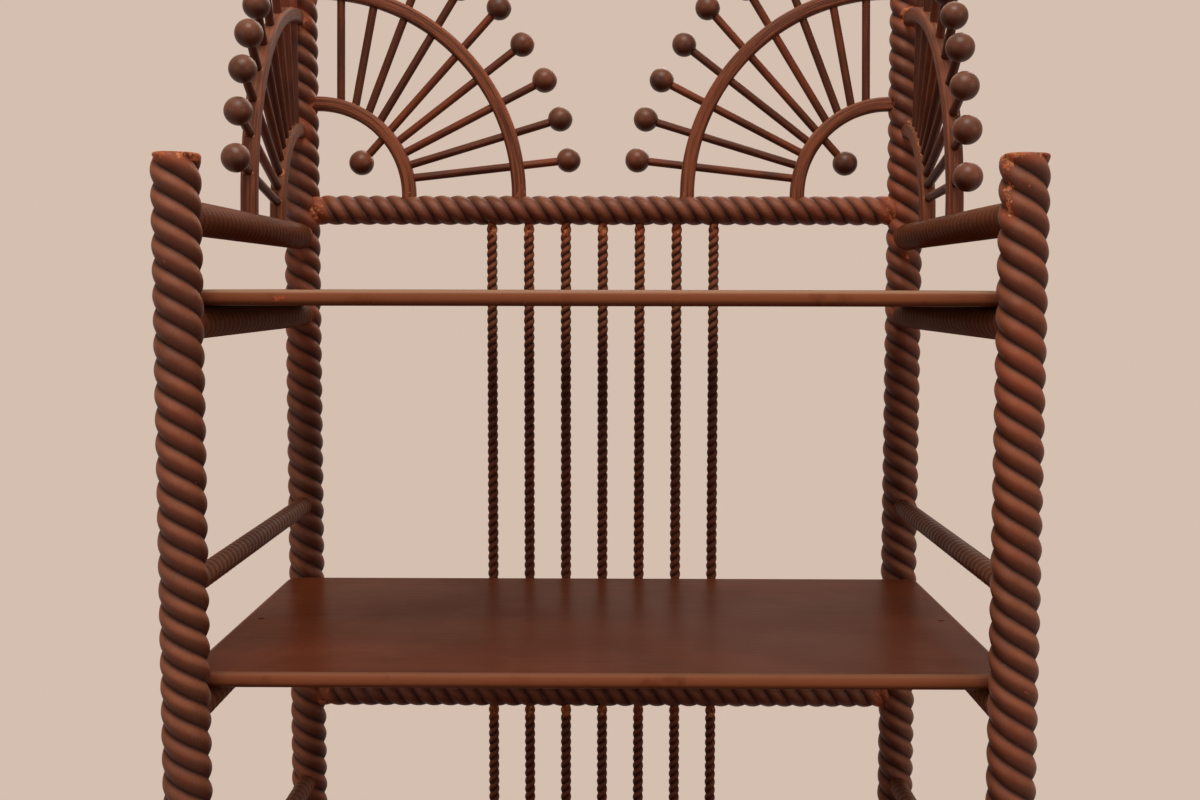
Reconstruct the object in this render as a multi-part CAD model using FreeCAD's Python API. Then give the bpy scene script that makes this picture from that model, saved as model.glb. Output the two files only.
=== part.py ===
import FreeCAD, Part
import math
import os
from collections import namedtuple

# Stick-and-ball etagere: four rope-twist posts carry rope-twist side rails and
# four shelves, a ladder of twisted rails and spindles closes the back, and a
# fan of dowels and balls stands on each side of the back posts' tops.
#
# Frame: X to the right, Y to the back, Z up. The origin is on the floor,
# in the middle between the four posts.

Vector = FreeCAD.Vector

# ---- driving dimensions, millimetres ---------------------------------------

POST_SPAN = 560.0            # between post axes, side to side
POST_DEPTH = 402.0           # between post axes, front to back
FRONT_POST_TOP = 1090.0
BACK_POST_TOP = 1335.0
POST_END_ROUND = 2.2         # rounding of the cut ends of a post

SHELF_COUNT = 4
LOWEST_SHELF_TOP = 205.0
TIER_HEIGHT = 265.0          # from one shelf top to the next
SHELF_THICK = 11.0
SHELF_HALF_WIDTH = 289.5
SHELF_FRONT = -179.0
SHELF_BACK = 166.0
SHELF_FRONT_CORNER = 30.0
SHELF_BACK_CORNER = 12.0
SHELF_EDGE_ROUND = 3.5

TOP_GALLERY_LIFT = 48.8      # rail axis above the top shelf
GALLERY_LIFT = 63.0          # rail axis above the other shelves
SIDE_RAIL_END_ROUND = 0.8

BACK_RAIL_TOP = 1073.5       # axis of the highest back rail
BACK_RAIL_SPACING = 455.1
BACK_RAIL_COUNT = 3
BACK_RAIL_ROPE_END = 17.5    # twist stops this far from the post axis
BACK_RAIL_CORE = 11.0        # plain round end that enters the post
BACK_RAIL_END_ROUND = 5.0

SPINDLE_COUNT = 7
SPINDLE_PITCH = 34.36
SPINDLE_RADIUS = 5.05
SPINDLE_SEAT = 6.0           # spindle end to rail axis

SHOULDER = 9.0               # rail shoulder to post axis
TENON_RADIUS = 6.0
TENON_LENGTH = 13.0
TENON_ROOT = 5.0             # tenon goes on this far inside its rail
HOUSING_REACH = 22.0         # past the outside of a post
JOINT_MARGIN = 3.0           # twist kept plain for this much beside a joint
ENVELOPE_GAP = 0.6           # round envelope of a twisted bar over its strands
GUIDE_GAP = 5.0              # helix that steers a twist over its strands
SAME_PLACE = 0.01            # two places nearer than this are one

FAN_INSET = 16.0             # centre of the bows from the post axis
OUTER_BOW = 186.0            # radius of the bow's centre line
INNER_BOW = 84.0
BOW_WIDTH = 13.0
BOW_CORNER = 3.5
BOW_SEAT = 6.0               # foot let into the rail
STRAND_CLEAR = 2.0           # housing of a bow's head past the strands
SPOKE_RADIUS = 3.75
SPOKE_COUNT = 9
SPOKE_PEG = 3.0              # past the centre line of the inner bow
BALL_RADIUS = 11.5
INNER_BALL_REACH = 29.0      # centre of a back fan's inner ball from the hub
BALL_SEAT = 3.5              # end of a spoke to the centre of its ball

NAIL_X = 274.0
NAIL_Y = -8.0
NAIL_RADIUS = 1.1
NAIL_LENGTH = 21.0
NAIL_HEAD_RADIUS = 2.4
NAIL_HEAD_THICK = 1.2
NAIL_SUNK = 0.8

# A rope twist: number of strands, radius over the strands, radius at the
# bottom of the grooves, height of one full turn and the hand of the twist.
Rope = namedtuple("Rope", "strands crest groove lead left_handed")
POST_ROPE = Rope(3, 16.6, 13.8, 49.5, True)
RAIL_ROPE = Rope(3, 13.7, 11.6, 45.4, False)
BEARER_ROPE = Rope(3, 11.75, 10.6, 37.5, False)      # side rail that a shelf lies on
TOP_GALLERY_ROPE = Rope(3, 12.0, 10.85, 36.6, False)
GALLERY_ROPE = Rope(2, 8.3, 7.4, 21.2, True)

# Spokes of a fan: they aim at a hub that lies out from the bows' centre and
# up from the rail; angles in degrees, reaches from the hub to a ball's centre.
Spokes = namedtuple("Spokes", "hub_out hub_up first step reach middle_reach inner_ball")
BACK_SPOKES = Spokes(20.5, 8.4, 6.5, 10.35, 213.0, 220.0, True)
LEFT_SPOKES = Spokes(11.0, 0.0, 10.4, 9.9, 220.0, 220.0, False)
RIGHT_SPOKES = Spokes(24.0, 15.0, 3.0, 10.2, 205.0, 205.0, False)

# ---- values worked out from them --------------------------------------------

HALF_SPAN = POST_SPAN / 2
HALF_DEPTH = POST_DEPTH / 2
UP = Vector(0, 0, 1)
SIDES = (("left", -1), ("right", 1))


def shelf_top(tier):
    """Height of the top of a shelf, counted from 1 at the bottom."""
    return LOWEST_SHELF_TOP + (tier - 1) * TIER_HEIGHT


def bearer_height(tier):
    return shelf_top(tier) - SHELF_THICK - BEARER_ROPE.crest


def gallery_height(tier):
    if tier == SHELF_COUNT:
        return shelf_top(tier) + TOP_GALLERY_LIFT
    return shelf_top(tier) + GALLERY_LIFT


def gallery_rope(tier):
    return TOP_GALLERY_ROPE if tier == SHELF_COUNT else GALLERY_ROPE


def back_rail_height(row):
    """Axis of a back rail, counted from 0 at the top."""
    return BACK_RAIL_TOP - row * BACK_RAIL_SPACING


def spindle_x(number):
    return (number - (SPINDLE_COUNT - 1) / 2) * SPINDLE_PITCH


# ---- basic forms --------------------------------------------------------------

def rod(start, end, radius):
    """Round bar between two points."""
    run = end - start
    return Part.makeCylinder(radius, run.Length, start, run)


def polar(radius, angle):
    return Vector(radius * math.cos(angle), radius * math.sin(angle), 0)


def rope_section(rope):
    """Closed outline of round strands that meet in sharp grooves."""
    half = math.pi / rope.strands
    arcs = []
    for strand in range(rope.strands):
        middle = 2 * half * strand
        arcs.append(Part.Arc(polar(rope.groove, middle - half),
                             polar(rope.crest, middle),
                             polar(rope.groove, middle + half)).toShape())
    return Part.Wire(arcs)


def rope_length(rope, low, high):
    """Stretch of an endless upright rope twist between two heights."""
    length = high - low
    spine = Part.Wire(Part.makeLine(Vector(0, 0, 0), UP * length))
    guide = Part.makeHelix(rope.lead, length, rope.crest + GUIDE_GAP, 0, rope.left_handed)
    sweep = Part.BRepOffsetAPI.MakePipeShell(spine)
    sweep.setAuxiliarySpine(Part.Wire(guide), True, 0)
    sweep.add(rope_section(rope), False, False)
    sweep.build()
    sweep.makeSolid()
    stretch = sweep.shape()
    hand = -1 if rope.left_handed else 1
    stretch.rotate(Vector(0, 0, 0), UP, hand * 360 * low / rope.lead)
    stretch.translate(UP * low)
    return stretch


def rounded_cylinder(radius, length, end_round):
    """Upright cylinder from z = 0 with both rims rounded over."""
    body = Part.makeCylinder(radius, length)
    rims = [edge for edge in body.Edges if isinstance(edge.Curve, Part.Circle)]
    return body.makeFillet(end_round, rims)


def one_solid(shape):
    """The single solid that a chain of cuts and joins has to leave."""
    if len(shape.Solids) != 1 or not shape.isValid():
        raise ValueError("expected one valid solid, found %d" % len(shape.Solids))
    return shape.Solids[0]


# ---- twisted bars with joints -----------------------------------------------------

def joint_levels(length, end_round, joints):
    """Heights that part a bar into plain stretches, its ends and its joints."""
    end = end_round + JOINT_MARGIN
    spans = [(0.0, end), (length - end, length)]
    spans += [(joint.BoundBox.ZMin - JOINT_MARGIN, joint.BoundBox.ZMax + JOINT_MARGIN)
              for joint in joints]
    merged = []
    for low, high in sorted(spans):
        if merged and low < merged[-1][1]:
            merged[-1][1] = max(merged[-1][1], high)
        else:
            merged.append([low, high])
    inner = [level for span in merged for level in span if 0 < level < length]
    return [0.0] + inner + [length]


def closed_skin(stretches, seams):
    """One solid from stacked stretches: their outer faces, without the seams."""
    faces = []
    for stretch in stretches:
        for face in stretch.Faces:
            flat = isinstance(face.Surface, Part.Plane) and abs(face.normalAt(0, 0).z) > 0.99
            if flat and min(abs(face.CenterOfMass.z - seam) for seam in seams) < SAME_PLACE:
                continue
            faces.append(face)
    skin = Part.makeShell(faces)
    skin.sewShape()
    return one_solid(Part.makeSolid(skin))


def within(shapes, low, high):
    """The shapes that reach into a stretch between two heights."""
    return [shape for shape in shapes
            if shape.BoundBox.ZMin < high and shape.BoundBox.ZMax > low]


def twisted_bar(rope, length, end_round, tools, ends):
    """Upright rope-twist bar from z = 0: rounded, cut by tools, with ends added.

    The bar is worked stretch by stretch, because a cut is quick on a short
    stretch and slow on a whole bar.
    """
    envelope = rounded_cylinder(rope.crest + ENVELOPE_GAP, length, end_round)
    levels = joint_levels(length, end_round, tools + ends)
    stretches = []
    for low, high in zip(levels, levels[1:]):
        stretch = rope_length(rope, low, high)
        if low == 0 or high == length:
            stretch = stretch.common(envelope)
        if within(ends, low, high):
            stretch = stretch.fuse(within(ends, low, high))
        if within(tools, low, high):
            stretch = stretch.cut(within(tools, low, high))
        stretches.append(stretch)
    return closed_skin(stretches, levels[1:-1])


def placed_bar(rope, length, end_round, place, tools, ends=()):
    """Twisted bar at a placement; its tools and ends are given where they are."""
    def local(shapes):
        moved = [shape.copy() for shape in shapes]
        for shape in moved:
            shape.Placement = place.inverse().multiply(shape.Placement)
        return moved

    bar = twisted_bar(rope, length, end_round, local(tools), local(ends))
    bar.Placement = place
    return bar


# ---- joints -------------------------------------------------------------------

def stepped_end(axis_point, outward, radius, reach):
    """End of a round rail at a post: its full round, then its tenon.

    The shoulder stands SHOULDER from the post axis; the tenon goes on from
    it past the axis. reach is where the full round starts.
    """
    shoulder = axis_point + outward * SHOULDER
    tip = shoulder - outward * TENON_LENGTH
    return [rod(axis_point + outward * reach, shoulder, radius),
            rod(shoulder, tip, TENON_RADIUS)]


def side_rail_sockets(side, outward_y, post_y):
    """Housings in a post for its bearers and gallery rails."""
    sockets = []
    outward = Vector(0, outward_y, 0)
    for tier in range(1, SHELF_COUNT + 1):
        for height, rope in ((bearer_height(tier), BEARER_ROPE),
                             (gallery_height(tier), gallery_rope(tier))):
            axis_point = Vector(side * HALF_SPAN, post_y, height)
            sockets += stepped_end(axis_point, outward, rope.crest, HOUSING_REACH)
    return sockets


def back_rail_sockets(side):
    """Housings in a back post for the plain ends of the twisted rails."""
    sockets = []
    outward = Vector(-side, 0, 0)
    for row in range(BACK_RAIL_COUNT):
        axis_point = Vector(side * HALF_SPAN, HALF_DEPTH, back_rail_height(row))
        sockets += stepped_end(axis_point, outward, BACK_RAIL_CORE, HOUSING_REACH)
    return sockets


# ---- fans -----------------------------------------------------------------------

class Fan:
    """A quarter wheel of two bows and their spokes beside a back post.

    out is the direction along the rail, away from the post. The bows are
    arcs about centre, which lies on top of the rail near the post.
    """

    def __init__(self, side, out, rail_top, layout):
        post_axis = Vector(side * HALF_SPAN, HALF_DEPTH, rail_top)
        self.out = out
        self.layout = layout
        self.centre = post_axis + out * FAN_INSET
        self.hub = self.centre + out * layout.hub_out + UP * layout.hub_up
        self.normal = out.cross(UP)

    def direction(self, spoke):
        angle = math.radians(self.layout.first + spoke * self.layout.step)
        return self.out * math.cos(angle) + UP * math.sin(angle)

    def bow_section(self, centre):
        """Rounded square across the rail's direction, at the foot of a bow."""
        half = BOW_WIDTH / 2
        flat = half - BOW_CORNER
        bend = half - BOW_CORNER * (1 - math.sqrt(0.5))
        points = []
        edges = []
        for turn in range(4):
            angle = turn * math.pi / 2
            a = self.out * math.cos(angle) + self.normal * math.sin(angle)
            b = self.out * -math.sin(angle) + self.normal * math.cos(angle)
            points.append((centre + a * half - b * flat,
                           centre + a * half + b * flat,
                           centre + (a + b) * bend,
                           centre + b * half + a * flat))
        for start, end, corner, after in points:
            edges.append(Part.makeLine(start, end))
            edges.append(Part.Arc(end, corner, after).toShape())
        return Part.Face(Part.Wire(edges))

    def foot(self, radius):
        """Straight foot of a bow, let into the rail."""
        section = self.bow_section(self.centre + self.out * radius)
        return section.extrude(UP * -BOW_SEAT)

    def head(self, radius, clear=0.0):
        """Straight upper end of a bow, let into the post.

        clear lengthens it away from the post, to open a housing for it.
        """
        section = self.bow_section(self.centre + self.out * radius)
        section.rotate(self.centre, self.normal, 90)
        section.translate(self.out * clear)
        return section.extrude(self.out * (SHOULDER - FAN_INSET - clear))

    def bow(self, radius):
        """Whole bow without its spoke holes."""
        section = self.bow_section(self.centre + self.out * radius)
        arc = section.revolve(self.centre, self.normal, 90)
        return arc.fuse([self.foot(radius), self.head(radius)]).removeSplitter()

    def distance_to_circle(self, spoke, radius):
        """From the hub along a spoke to a circle about the bows' centre."""
        across = (self.hub - self.centre).dot(self.direction(spoke))
        offset = (self.hub - self.centre).Length
        return -across + math.sqrt(across ** 2 - offset ** 2 + radius ** 2)

    def is_middle(self, spoke):
        return spoke == (SPOKE_COUNT - 1) // 2

    def ball_distance(self, spoke):
        return self.layout.middle_reach if self.is_middle(spoke) else self.layout.reach

    def has_inner_ball(self, spoke):
        return self.layout.inner_ball and self.is_middle(spoke)

    def spoke_start(self, spoke):
        if self.has_inner_ball(spoke):
            return INNER_BALL_REACH + BALL_SEAT
        return self.distance_to_circle(spoke, INNER_BOW - SPOKE_PEG)

    def spoke(self, spoke):
        along = self.direction(spoke)
        return rod(self.hub + along * self.spoke_start(spoke),
                   self.hub + along * (self.ball_distance(spoke) - BALL_SEAT),
                   SPOKE_RADIUS)

    def spokes(self):
        return [self.spoke(number) for number in range(SPOKE_COUNT)]

    def drilled_bow(self, radius):
        return one_solid(self.bow(radius).cut(self.spokes()))

    def balls(self):
        """Balls on the outer ends of the spokes, and one inside a back fan."""
        balls = []
        for number in range(SPOKE_COUNT):
            along = self.direction(number)
            balls.append(ball(self.hub + along * self.ball_distance(number), -along))
            if self.has_inner_ball(number):
                balls.append(ball(self.hub + along * INNER_BALL_REACH, along))
        return balls


def ball(centre, mouth):
    """Turned ball with a blind socket for its spoke, open towards mouth."""
    rim = math.sqrt(BALL_RADIUS ** 2 - SPOKE_RADIUS ** 2)
    points = [Vector(0, 0, BALL_SEAT), Vector(SPOKE_RADIUS, 0, BALL_SEAT),
              Vector(SPOKE_RADIUS, 0, rim)]
    arc = Part.Arc(points[-1], Vector(BALL_RADIUS, 0, 0), Vector(0, 0, -BALL_RADIUS))
    outline = Part.Wire([Part.makeLine(points[0], points[1]),
                         Part.makeLine(points[1], points[2]),
                         arc.toShape(),
                         Part.makeLine(Vector(0, 0, -BALL_RADIUS), points[0])])
    turned = Part.Face(outline).revolve(Vector(0, 0, 0), UP, 360)
    turned.Placement = FreeCAD.Placement(centre, FreeCAD.Rotation(UP, mouth))
    return one_solid(turned)


def back_fan(side):
    return Fan(side, Vector(-side, 0, 0), BACK_RAIL_TOP + RAIL_ROPE.crest, BACK_SPOKES)


def side_fan(side):
    rail_top = gallery_height(SHELF_COUNT) + TOP_GALLERY_ROPE.crest
    return Fan(side, Vector(0, -1, 0), rail_top, LEFT_SPOKES if side < 0 else RIGHT_SPOKES)


# ---- posts ----------------------------------------------------------------------

def front_post(side):
    place = FreeCAD.Placement(Vector(side * HALF_SPAN, -HALF_DEPTH, 0), FreeCAD.Rotation())
    housings = side_rail_sockets(side, 1, -HALF_DEPTH)
    return placed_bar(POST_ROPE, FRONT_POST_TOP, POST_END_ROUND, place, housings)


def back_post(side):
    place = FreeCAD.Placement(Vector(side * HALF_SPAN, HALF_DEPTH, 0), FreeCAD.Rotation())
    housings = side_rail_sockets(side, -1, HALF_DEPTH) + back_rail_sockets(side)
    for fan in (back_fan(side), side_fan(side)):
        housings += [fan.head(radius, STRAND_CLEAR) for radius in (OUTER_BOW, INNER_BOW)]
    return placed_bar(POST_ROPE, BACK_POST_TOP, POST_END_ROUND, place, housings)


# ---- rails, spindles and shelves ---------------------------------------------------

def back_rail_bores(row):
    """Spindles and bow feet that enter a back rail."""
    bores = []
    if row > 0:
        bores += [spindle(row - 1, number) for number in range(SPINDLE_COUNT)]
    if row < BACK_RAIL_COUNT - 1:
        bores += [spindle(row, number) for number in range(SPINDLE_COUNT)]
    if row == 0:
        for name, side in SIDES:
            bores += [back_fan(side).foot(OUTER_BOW), back_fan(side).foot(INNER_BOW)]
    return bores


def back_rail(row):
    """Twisted rail across the back, with a plain end and a tenon at each post."""
    height = back_rail_height(row)
    half_rope = HALF_SPAN - BACK_RAIL_ROPE_END
    across = FreeCAD.Rotation(Vector(0, 1, 0), 90)
    place = FreeCAD.Placement(Vector(-half_rope, HALF_DEPTH, height), across)
    ends = []
    for name, side in SIDES:
        axis_point = Vector(side * HALF_SPAN, HALF_DEPTH, height)
        reach = BACK_RAIL_ROPE_END + BACK_RAIL_END_ROUND
        ends += stepped_end(axis_point, Vector(-side, 0, 0), BACK_RAIL_CORE, reach)
    return placed_bar(RAIL_ROPE, 2 * half_rope, BACK_RAIL_END_ROUND, place,
                      back_rail_bores(row), ends)


def spindle(bay, number):
    """Upright rod between the back rails bay and bay + 1."""
    x = spindle_x(number)
    return rod(Vector(x, HALF_DEPTH, back_rail_height(bay + 1) + SPINDLE_SEAT),
               Vector(x, HALF_DEPTH, back_rail_height(bay) - SPINDLE_SEAT),
               SPINDLE_RADIUS)


def side_rail(side, height, rope, tools):
    """Twisted rail from a front post to a back post, with a tenon at each end."""
    front = Vector(side * HALF_SPAN, -HALF_DEPTH, height)
    back = Vector(side * HALF_SPAN, HALF_DEPTH, height)
    inward = Vector(0, 1, 0)
    tip = inward * (TENON_LENGTH - SHOULDER)
    root = inward * (SHOULDER + TENON_ROOT)
    tenons = [rod(front - tip, front + root, TENON_RADIUS),
              rod(back - root, back + tip, TENON_RADIUS)]
    place = FreeCAD.Placement(front + inward * SHOULDER,
                              FreeCAD.Rotation(Vector(1, 0, 0), -90))
    length = POST_DEPTH - 2 * SHOULDER
    return placed_bar(rope, length, SIDE_RAIL_END_ROUND, place, tools, tenons)


def bearer_rail(side, tier):
    """Side rail under a shelf, bored for its nail."""
    return side_rail(side, bearer_height(tier), BEARER_ROPE, nail(side, tier))


def gallery_rail(side, tier):
    """Side rail above a shelf; the top one carries the feet of a side fan."""
    feet = []
    if tier == SHELF_COUNT:
        feet = [side_fan(side).foot(OUTER_BOW), side_fan(side).foot(INNER_BOW)]
    return side_rail(side, gallery_height(tier), gallery_rope(tier), feet)


def shelf_outline():
    """Plan of a shelf: straight edges and rounded corners, at z = 0."""
    corners = ((1, SHELF_FRONT, SHELF_FRONT_CORNER), (1, SHELF_BACK, SHELF_BACK_CORNER),
               (-1, SHELF_BACK, SHELF_BACK_CORNER), (-1, SHELF_FRONT, SHELF_FRONT_CORNER))
    arcs = []
    for number, (side, y, radius) in enumerate(corners):
        inward = 1 if y < 0 else -1
        centre = Vector(side * (SHELF_HALF_WIDTH - radius), y + inward * radius, 0)
        first = math.radians(-90 + 90 * number)
        arcs.append([centre + polar(radius, first + step * math.pi / 4) for step in range(3)])
    edges = []
    for number, arc in enumerate(arcs):
        edges.append(Part.Arc(*arc).toShape())
        edges.append(Part.makeLine(arc[-1], arcs[(number + 1) % 4][0]))
    return Part.Wire(edges)


def shelf(tier):
    """Board with rounded-over edges, bored for its two nails."""
    board = Part.Face(shelf_outline()).extrude(UP * SHELF_THICK)
    rims = [edge for edge in board.Edges if abs(edge.tangentAt(edge.FirstParameter).z) < 0.5]
    board = board.makeFillet(SHELF_EDGE_ROUND, rims)
    board.translate(UP * (shelf_top(tier) - SHELF_THICK))
    bores = []
    for name, side in SIDES:
        bores += nail(side, tier)
        bores.append(nail_hole(side, tier))
    return one_solid(board.cut(bores))


# ---- nails ----------------------------------------------------------------------

def nail_top(side, tier):
    return Vector(side * NAIL_X, NAIL_Y, shelf_top(tier) - NAIL_SUNK)


def nail(side, tier):
    """Head and shank of the nail that holds a shelf to its bearer."""
    top = nail_top(side, tier)
    return [rod(top - UP * NAIL_HEAD_THICK, top, NAIL_HEAD_RADIUS),
            rod(top - UP * NAIL_LENGTH, top - UP * NAIL_HEAD_THICK, NAIL_RADIUS)]


def nail_hole(side, tier):
    """Hole that the sunk head leaves in the top of the shelf."""
    top = nail_top(side, tier)
    return rod(top, top + UP * 2 * NAIL_SUNK, NAIL_HEAD_RADIUS)


def nails():
    solids = []
    for tier in range(1, SHELF_COUNT + 1):
        for name, side in SIDES:
            head, shank = nail(side, tier)
            solids.append(one_solid(head.fuse(shank)))
    return solids


# ---- assembly ---------------------------------------------------------------------

def build_frame(nodes):
    for name, side in SIDES:
        nodes["front_post_" + name] = front_post(side)
        nodes["back_post_" + name] = back_post(side)
    for row, place in enumerate(("top", "middle", "bottom")):
        nodes["back_rail_" + place] = back_rail(row)
    for bay, place in enumerate(("upper", "lower")):
        for number in range(SPINDLE_COUNT):
            nodes["%s_spindle_%d" % (place, number + 1)] = spindle(bay, number)


def build_tiers(nodes):
    for tier in range(1, SHELF_COUNT + 1):
        nodes["shelf_%d" % tier] = shelf(tier)
        for name, side in SIDES:
            nodes["bearer_rail_%d_%s" % (tier, name)] = bearer_rail(side, tier)
            nodes["gallery_rail_%d_%s" % (tier, name)] = gallery_rail(side, tier)
    nodes["shelf_nails"] = Part.makeCompound(nails())


def build_fans(nodes):
    for name, side in SIDES:
        for place, fan in (("back", back_fan(side)), ("side", side_fan(side))):
            title = "%s_fan_%s" % (place, name)
            nodes[title + "_outer_bow"] = fan.drilled_bow(OUTER_BOW)
            nodes[title + "_inner_bow"] = fan.drilled_bow(INNER_BOW)
            nodes[title + "_spokes"] = Part.makeCompound(fan.spokes())
            nodes[title + "_balls"] = Part.makeCompound(fan.balls())


def main():
    nodes = {}
    build_frame(nodes)
    build_tiers(nodes)
    build_fans(nodes)
    os.makedirs("parts", exist_ok=True)
    for name, shape in nodes.items():
        shape.exportStep("parts/%s.step" % name)
    print("%d nodes" % len(nodes))


main()
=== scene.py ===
import math

import bmesh
import bpy
from bpy.props import (BoolProperty, FloatProperty, FloatVectorProperty, IntProperty,
                       PointerProperty)
from mathutils import Matrix, Vector
from mathutils.kdtree import KDTree


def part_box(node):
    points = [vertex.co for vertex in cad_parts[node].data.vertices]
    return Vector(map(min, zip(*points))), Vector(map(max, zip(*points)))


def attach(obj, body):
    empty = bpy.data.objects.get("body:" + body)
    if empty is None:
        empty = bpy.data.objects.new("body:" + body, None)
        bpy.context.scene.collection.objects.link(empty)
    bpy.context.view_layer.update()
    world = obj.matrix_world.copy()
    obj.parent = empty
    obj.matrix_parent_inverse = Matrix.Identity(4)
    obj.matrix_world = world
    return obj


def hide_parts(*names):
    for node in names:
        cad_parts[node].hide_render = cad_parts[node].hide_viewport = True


bl_info = {
    "name": "Stick and Ball Etagere",
    "version": (1, 0, 0),
    "blender": (4, 5, 0),
    "location": "View3D > Sidebar > Etagere",
    "description": "Rope-twist etagere with board shelves and fans of dowels and balls",
    "category": "Object",
}

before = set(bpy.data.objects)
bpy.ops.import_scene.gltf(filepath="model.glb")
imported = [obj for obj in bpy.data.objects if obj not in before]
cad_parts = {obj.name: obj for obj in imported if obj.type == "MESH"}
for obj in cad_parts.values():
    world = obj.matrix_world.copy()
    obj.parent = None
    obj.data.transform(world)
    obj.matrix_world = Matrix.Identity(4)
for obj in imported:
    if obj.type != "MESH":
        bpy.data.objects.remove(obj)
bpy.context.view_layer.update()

MM = 0.001
BODY = "root"

SIDES = ("left", "right")
TIERS = (1, 2, 3, 4)
TOP_TIER = TIERS[-1]
SPINDLES = range(1, 8)
BACK_RAILS = ("top", "middle", "bottom")
SIDE_RAILS = ("bearer_rail", "gallery_rail")
FANS = {"back_fan_left": "etagere_back_spokes", "back_fan_right": "etagere_back_spokes",
        "side_fan_left": "etagere_left_spokes", "side_fan_right": "etagere_right_spokes"}

# Joints of the turned and bent pieces.
SHOULDER = 9 * MM                # end of a rail's or bow's full section, from the post's axis
TENON = 13 * MM                  # length of a side rail's tenon
RAIL_END_ROUND = 4 * MM          # rounding of a back rail's shoulders
BOW_CENTRE = 16 * MM             # centre of the bows' quarter circles, from the post's axis
SPOKE_PEG = 3 * MM               # a spoke goes on this far past the inner bow's middle line

# Points along and round the bars; the close ones are metres from an end of a bar.
CLOSE_STATIONS = (0.0, 0.0001, 0.0003, 0.0006, 0.0010, 0.0015, 0.0021, 0.0029, 0.0040)
SPOKE_STEP = 12 * MM
BOW_STEPS = 48
BAR_CORNER_POINTS = 6

# Turned balls.
BALL_SEGMENTS = 40
BALL_RINGS = 24
BALL_POLE = 0.985                # height of the flattened outer pole, in radii
BALL_UNEVEN = 0.03               # how much smaller the smallest ball is

# Worn places on the posts and bows.
JOINT_FADE = 7 * MM
HOLE_FADE = 4 * MM
HOLE_RIM = 0.5 * MM              # splintered rim round a spoke's hole
WORN_END_FADE = 8 * MM           # how far the wear at a bar's end fades
BOW_HEAD_WEAR = 0.75             # worn place round a bow's head, in widths of the bow
RAIL_WEAR_AT = 0.8               # centre of a rail's worn place, in radii of the post
BACK_RAIL_WEAR = 11 * MM
SIDE_RAIL_INSET = 2 * MM         # a side rail's worn place is this much smaller than the rail
KNOCK = 2 * MM                   # knock on the front of a back post
KNOCK_AT = 0.95                  # its centre, in radii of the post
KNOCK_UNDER_RAIL = 6 * MM        # its centre, under the top gallery rail
RUBBED_SPOT = 4 * MM             # rubbed line down the inner side of the right front post
RUBBED_AT = (-0.85, -0.5)        # its plan place, in radii of the post
RUBBED_DROPS = [(7 + 8 * spot) * MM for spot in range(5)]
RIM_SPOT = 3 * MM                # chipped places on the top rim of a post
RIM_SPOTS = (math.radians(205), math.radians(232))

# Boards and their nails.
NAIL_HEAD = 2.4 * MM
NAIL_HOLE = 2.6 * MM
NAIL_SUNK = 1.0 * MM
HOLE_SIDES = 20
FRONT_CORNER = 30 * MM
BACK_CORNER = 12 * MM
EDGE_ROUND = 4.5 * MM
CORNER_STEPS = 14
EDGE_STEPS = 6
IRON = (0.012, 0.010, 0.009, 1.0)
RUST = (0.05, 0.028, 0.018, 1.0)

# Stage.
FLOOR_RADIUS = 6.0
FLOOR_SIDES = 96
SKY = (1.0, 0.96, 0.92, 1.0)
LAMP_COLOUR = (1.0, 0.93, 0.86)
LEFT_FILL_SHARE = 0.75           # power of the left fill light, as a share of the right one
SENSOR_WIDTH = 36.0


# ---- properties ---------------------------------------------------------------------------

def length(name, description, default):
    """Length property, in metres."""
    return FloatProperty(name=name, description=description, default=default,
                         unit="LENGTH", subtype="DISTANCE", precision=5)


def colour(name, description, default):
    """Colour property, as the colour looks on a screen."""
    return FloatVectorProperty(name=name, description=description, default=default,
                               size=3, min=0.0, max=1.0, subtype="COLOR_GAMMA")


def angle(name, description, degrees):
    return FloatProperty(name=name, description=description,
                         default=math.radians(degrees), subtype="ANGLE", unit="ROTATION")


def count(name, description, default):
    return IntProperty(name=name, description=description, default=default)


def number(name, description, default):
    return FloatProperty(name=name, description=description, default=default)


class RopeSizes(bpy.types.PropertyGroup):
    """Form of the rope-twist bars; their thickness comes from the frame."""
    post_groove: length("Post groove", "Radius of a post at the bottom of a groove", 0.0138)
    post_turn: length("Post turn", "Height of one full turn of a post", 0.0495)
    post_strands: count("Post strands", "Strands in a post", 3)
    rail_groove: length("Rail groove", "Radius of a back rail in a groove", 0.0116)
    rail_turn: length("Rail turn", "Length of one full turn of a back rail", 0.0454)
    rail_strands: count("Rail strands", "Strands in a rail", 3)
    side_groove: length("Side groove", "Depth of the grooves of a thick side rail", 0.00027)
    bearer_turn: length("Bearer turn", "Length of one full turn of a bearer", 0.0375)
    gallery_turn: length("Gallery turn", "Length of one full turn of a top gallery rail",
                         0.0366)
    thin_groove: length("Thin groove", "Depth of the grooves of a thin side rail", 0.0004)
    thin_turn: length("Thin turn", "Length of one full turn of a thin side rail", 0.0212)
    thin_strands: count("Thin strands", "Strands in a thin side rail", 2)
    spindle_neck: length("Spindle neck", "Radius of a spindle in a groove", 0.0039)
    spindle_turn: length("Spindle turn", "Length of one full turn of a spindle", 0.0154)
    spindle_strands: count("Spindle strands", "Strands in a spindle", 2)
    end_round: length("End round", "Rounding of the cut ends of a post", 0.0024)
    worn: length("Worn", "Depth of the wear on the strands", 0.00035)
    thin_worn: number("Thin wear", "Wear of thin and shallow twists, as a share of that", 0.6)


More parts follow.
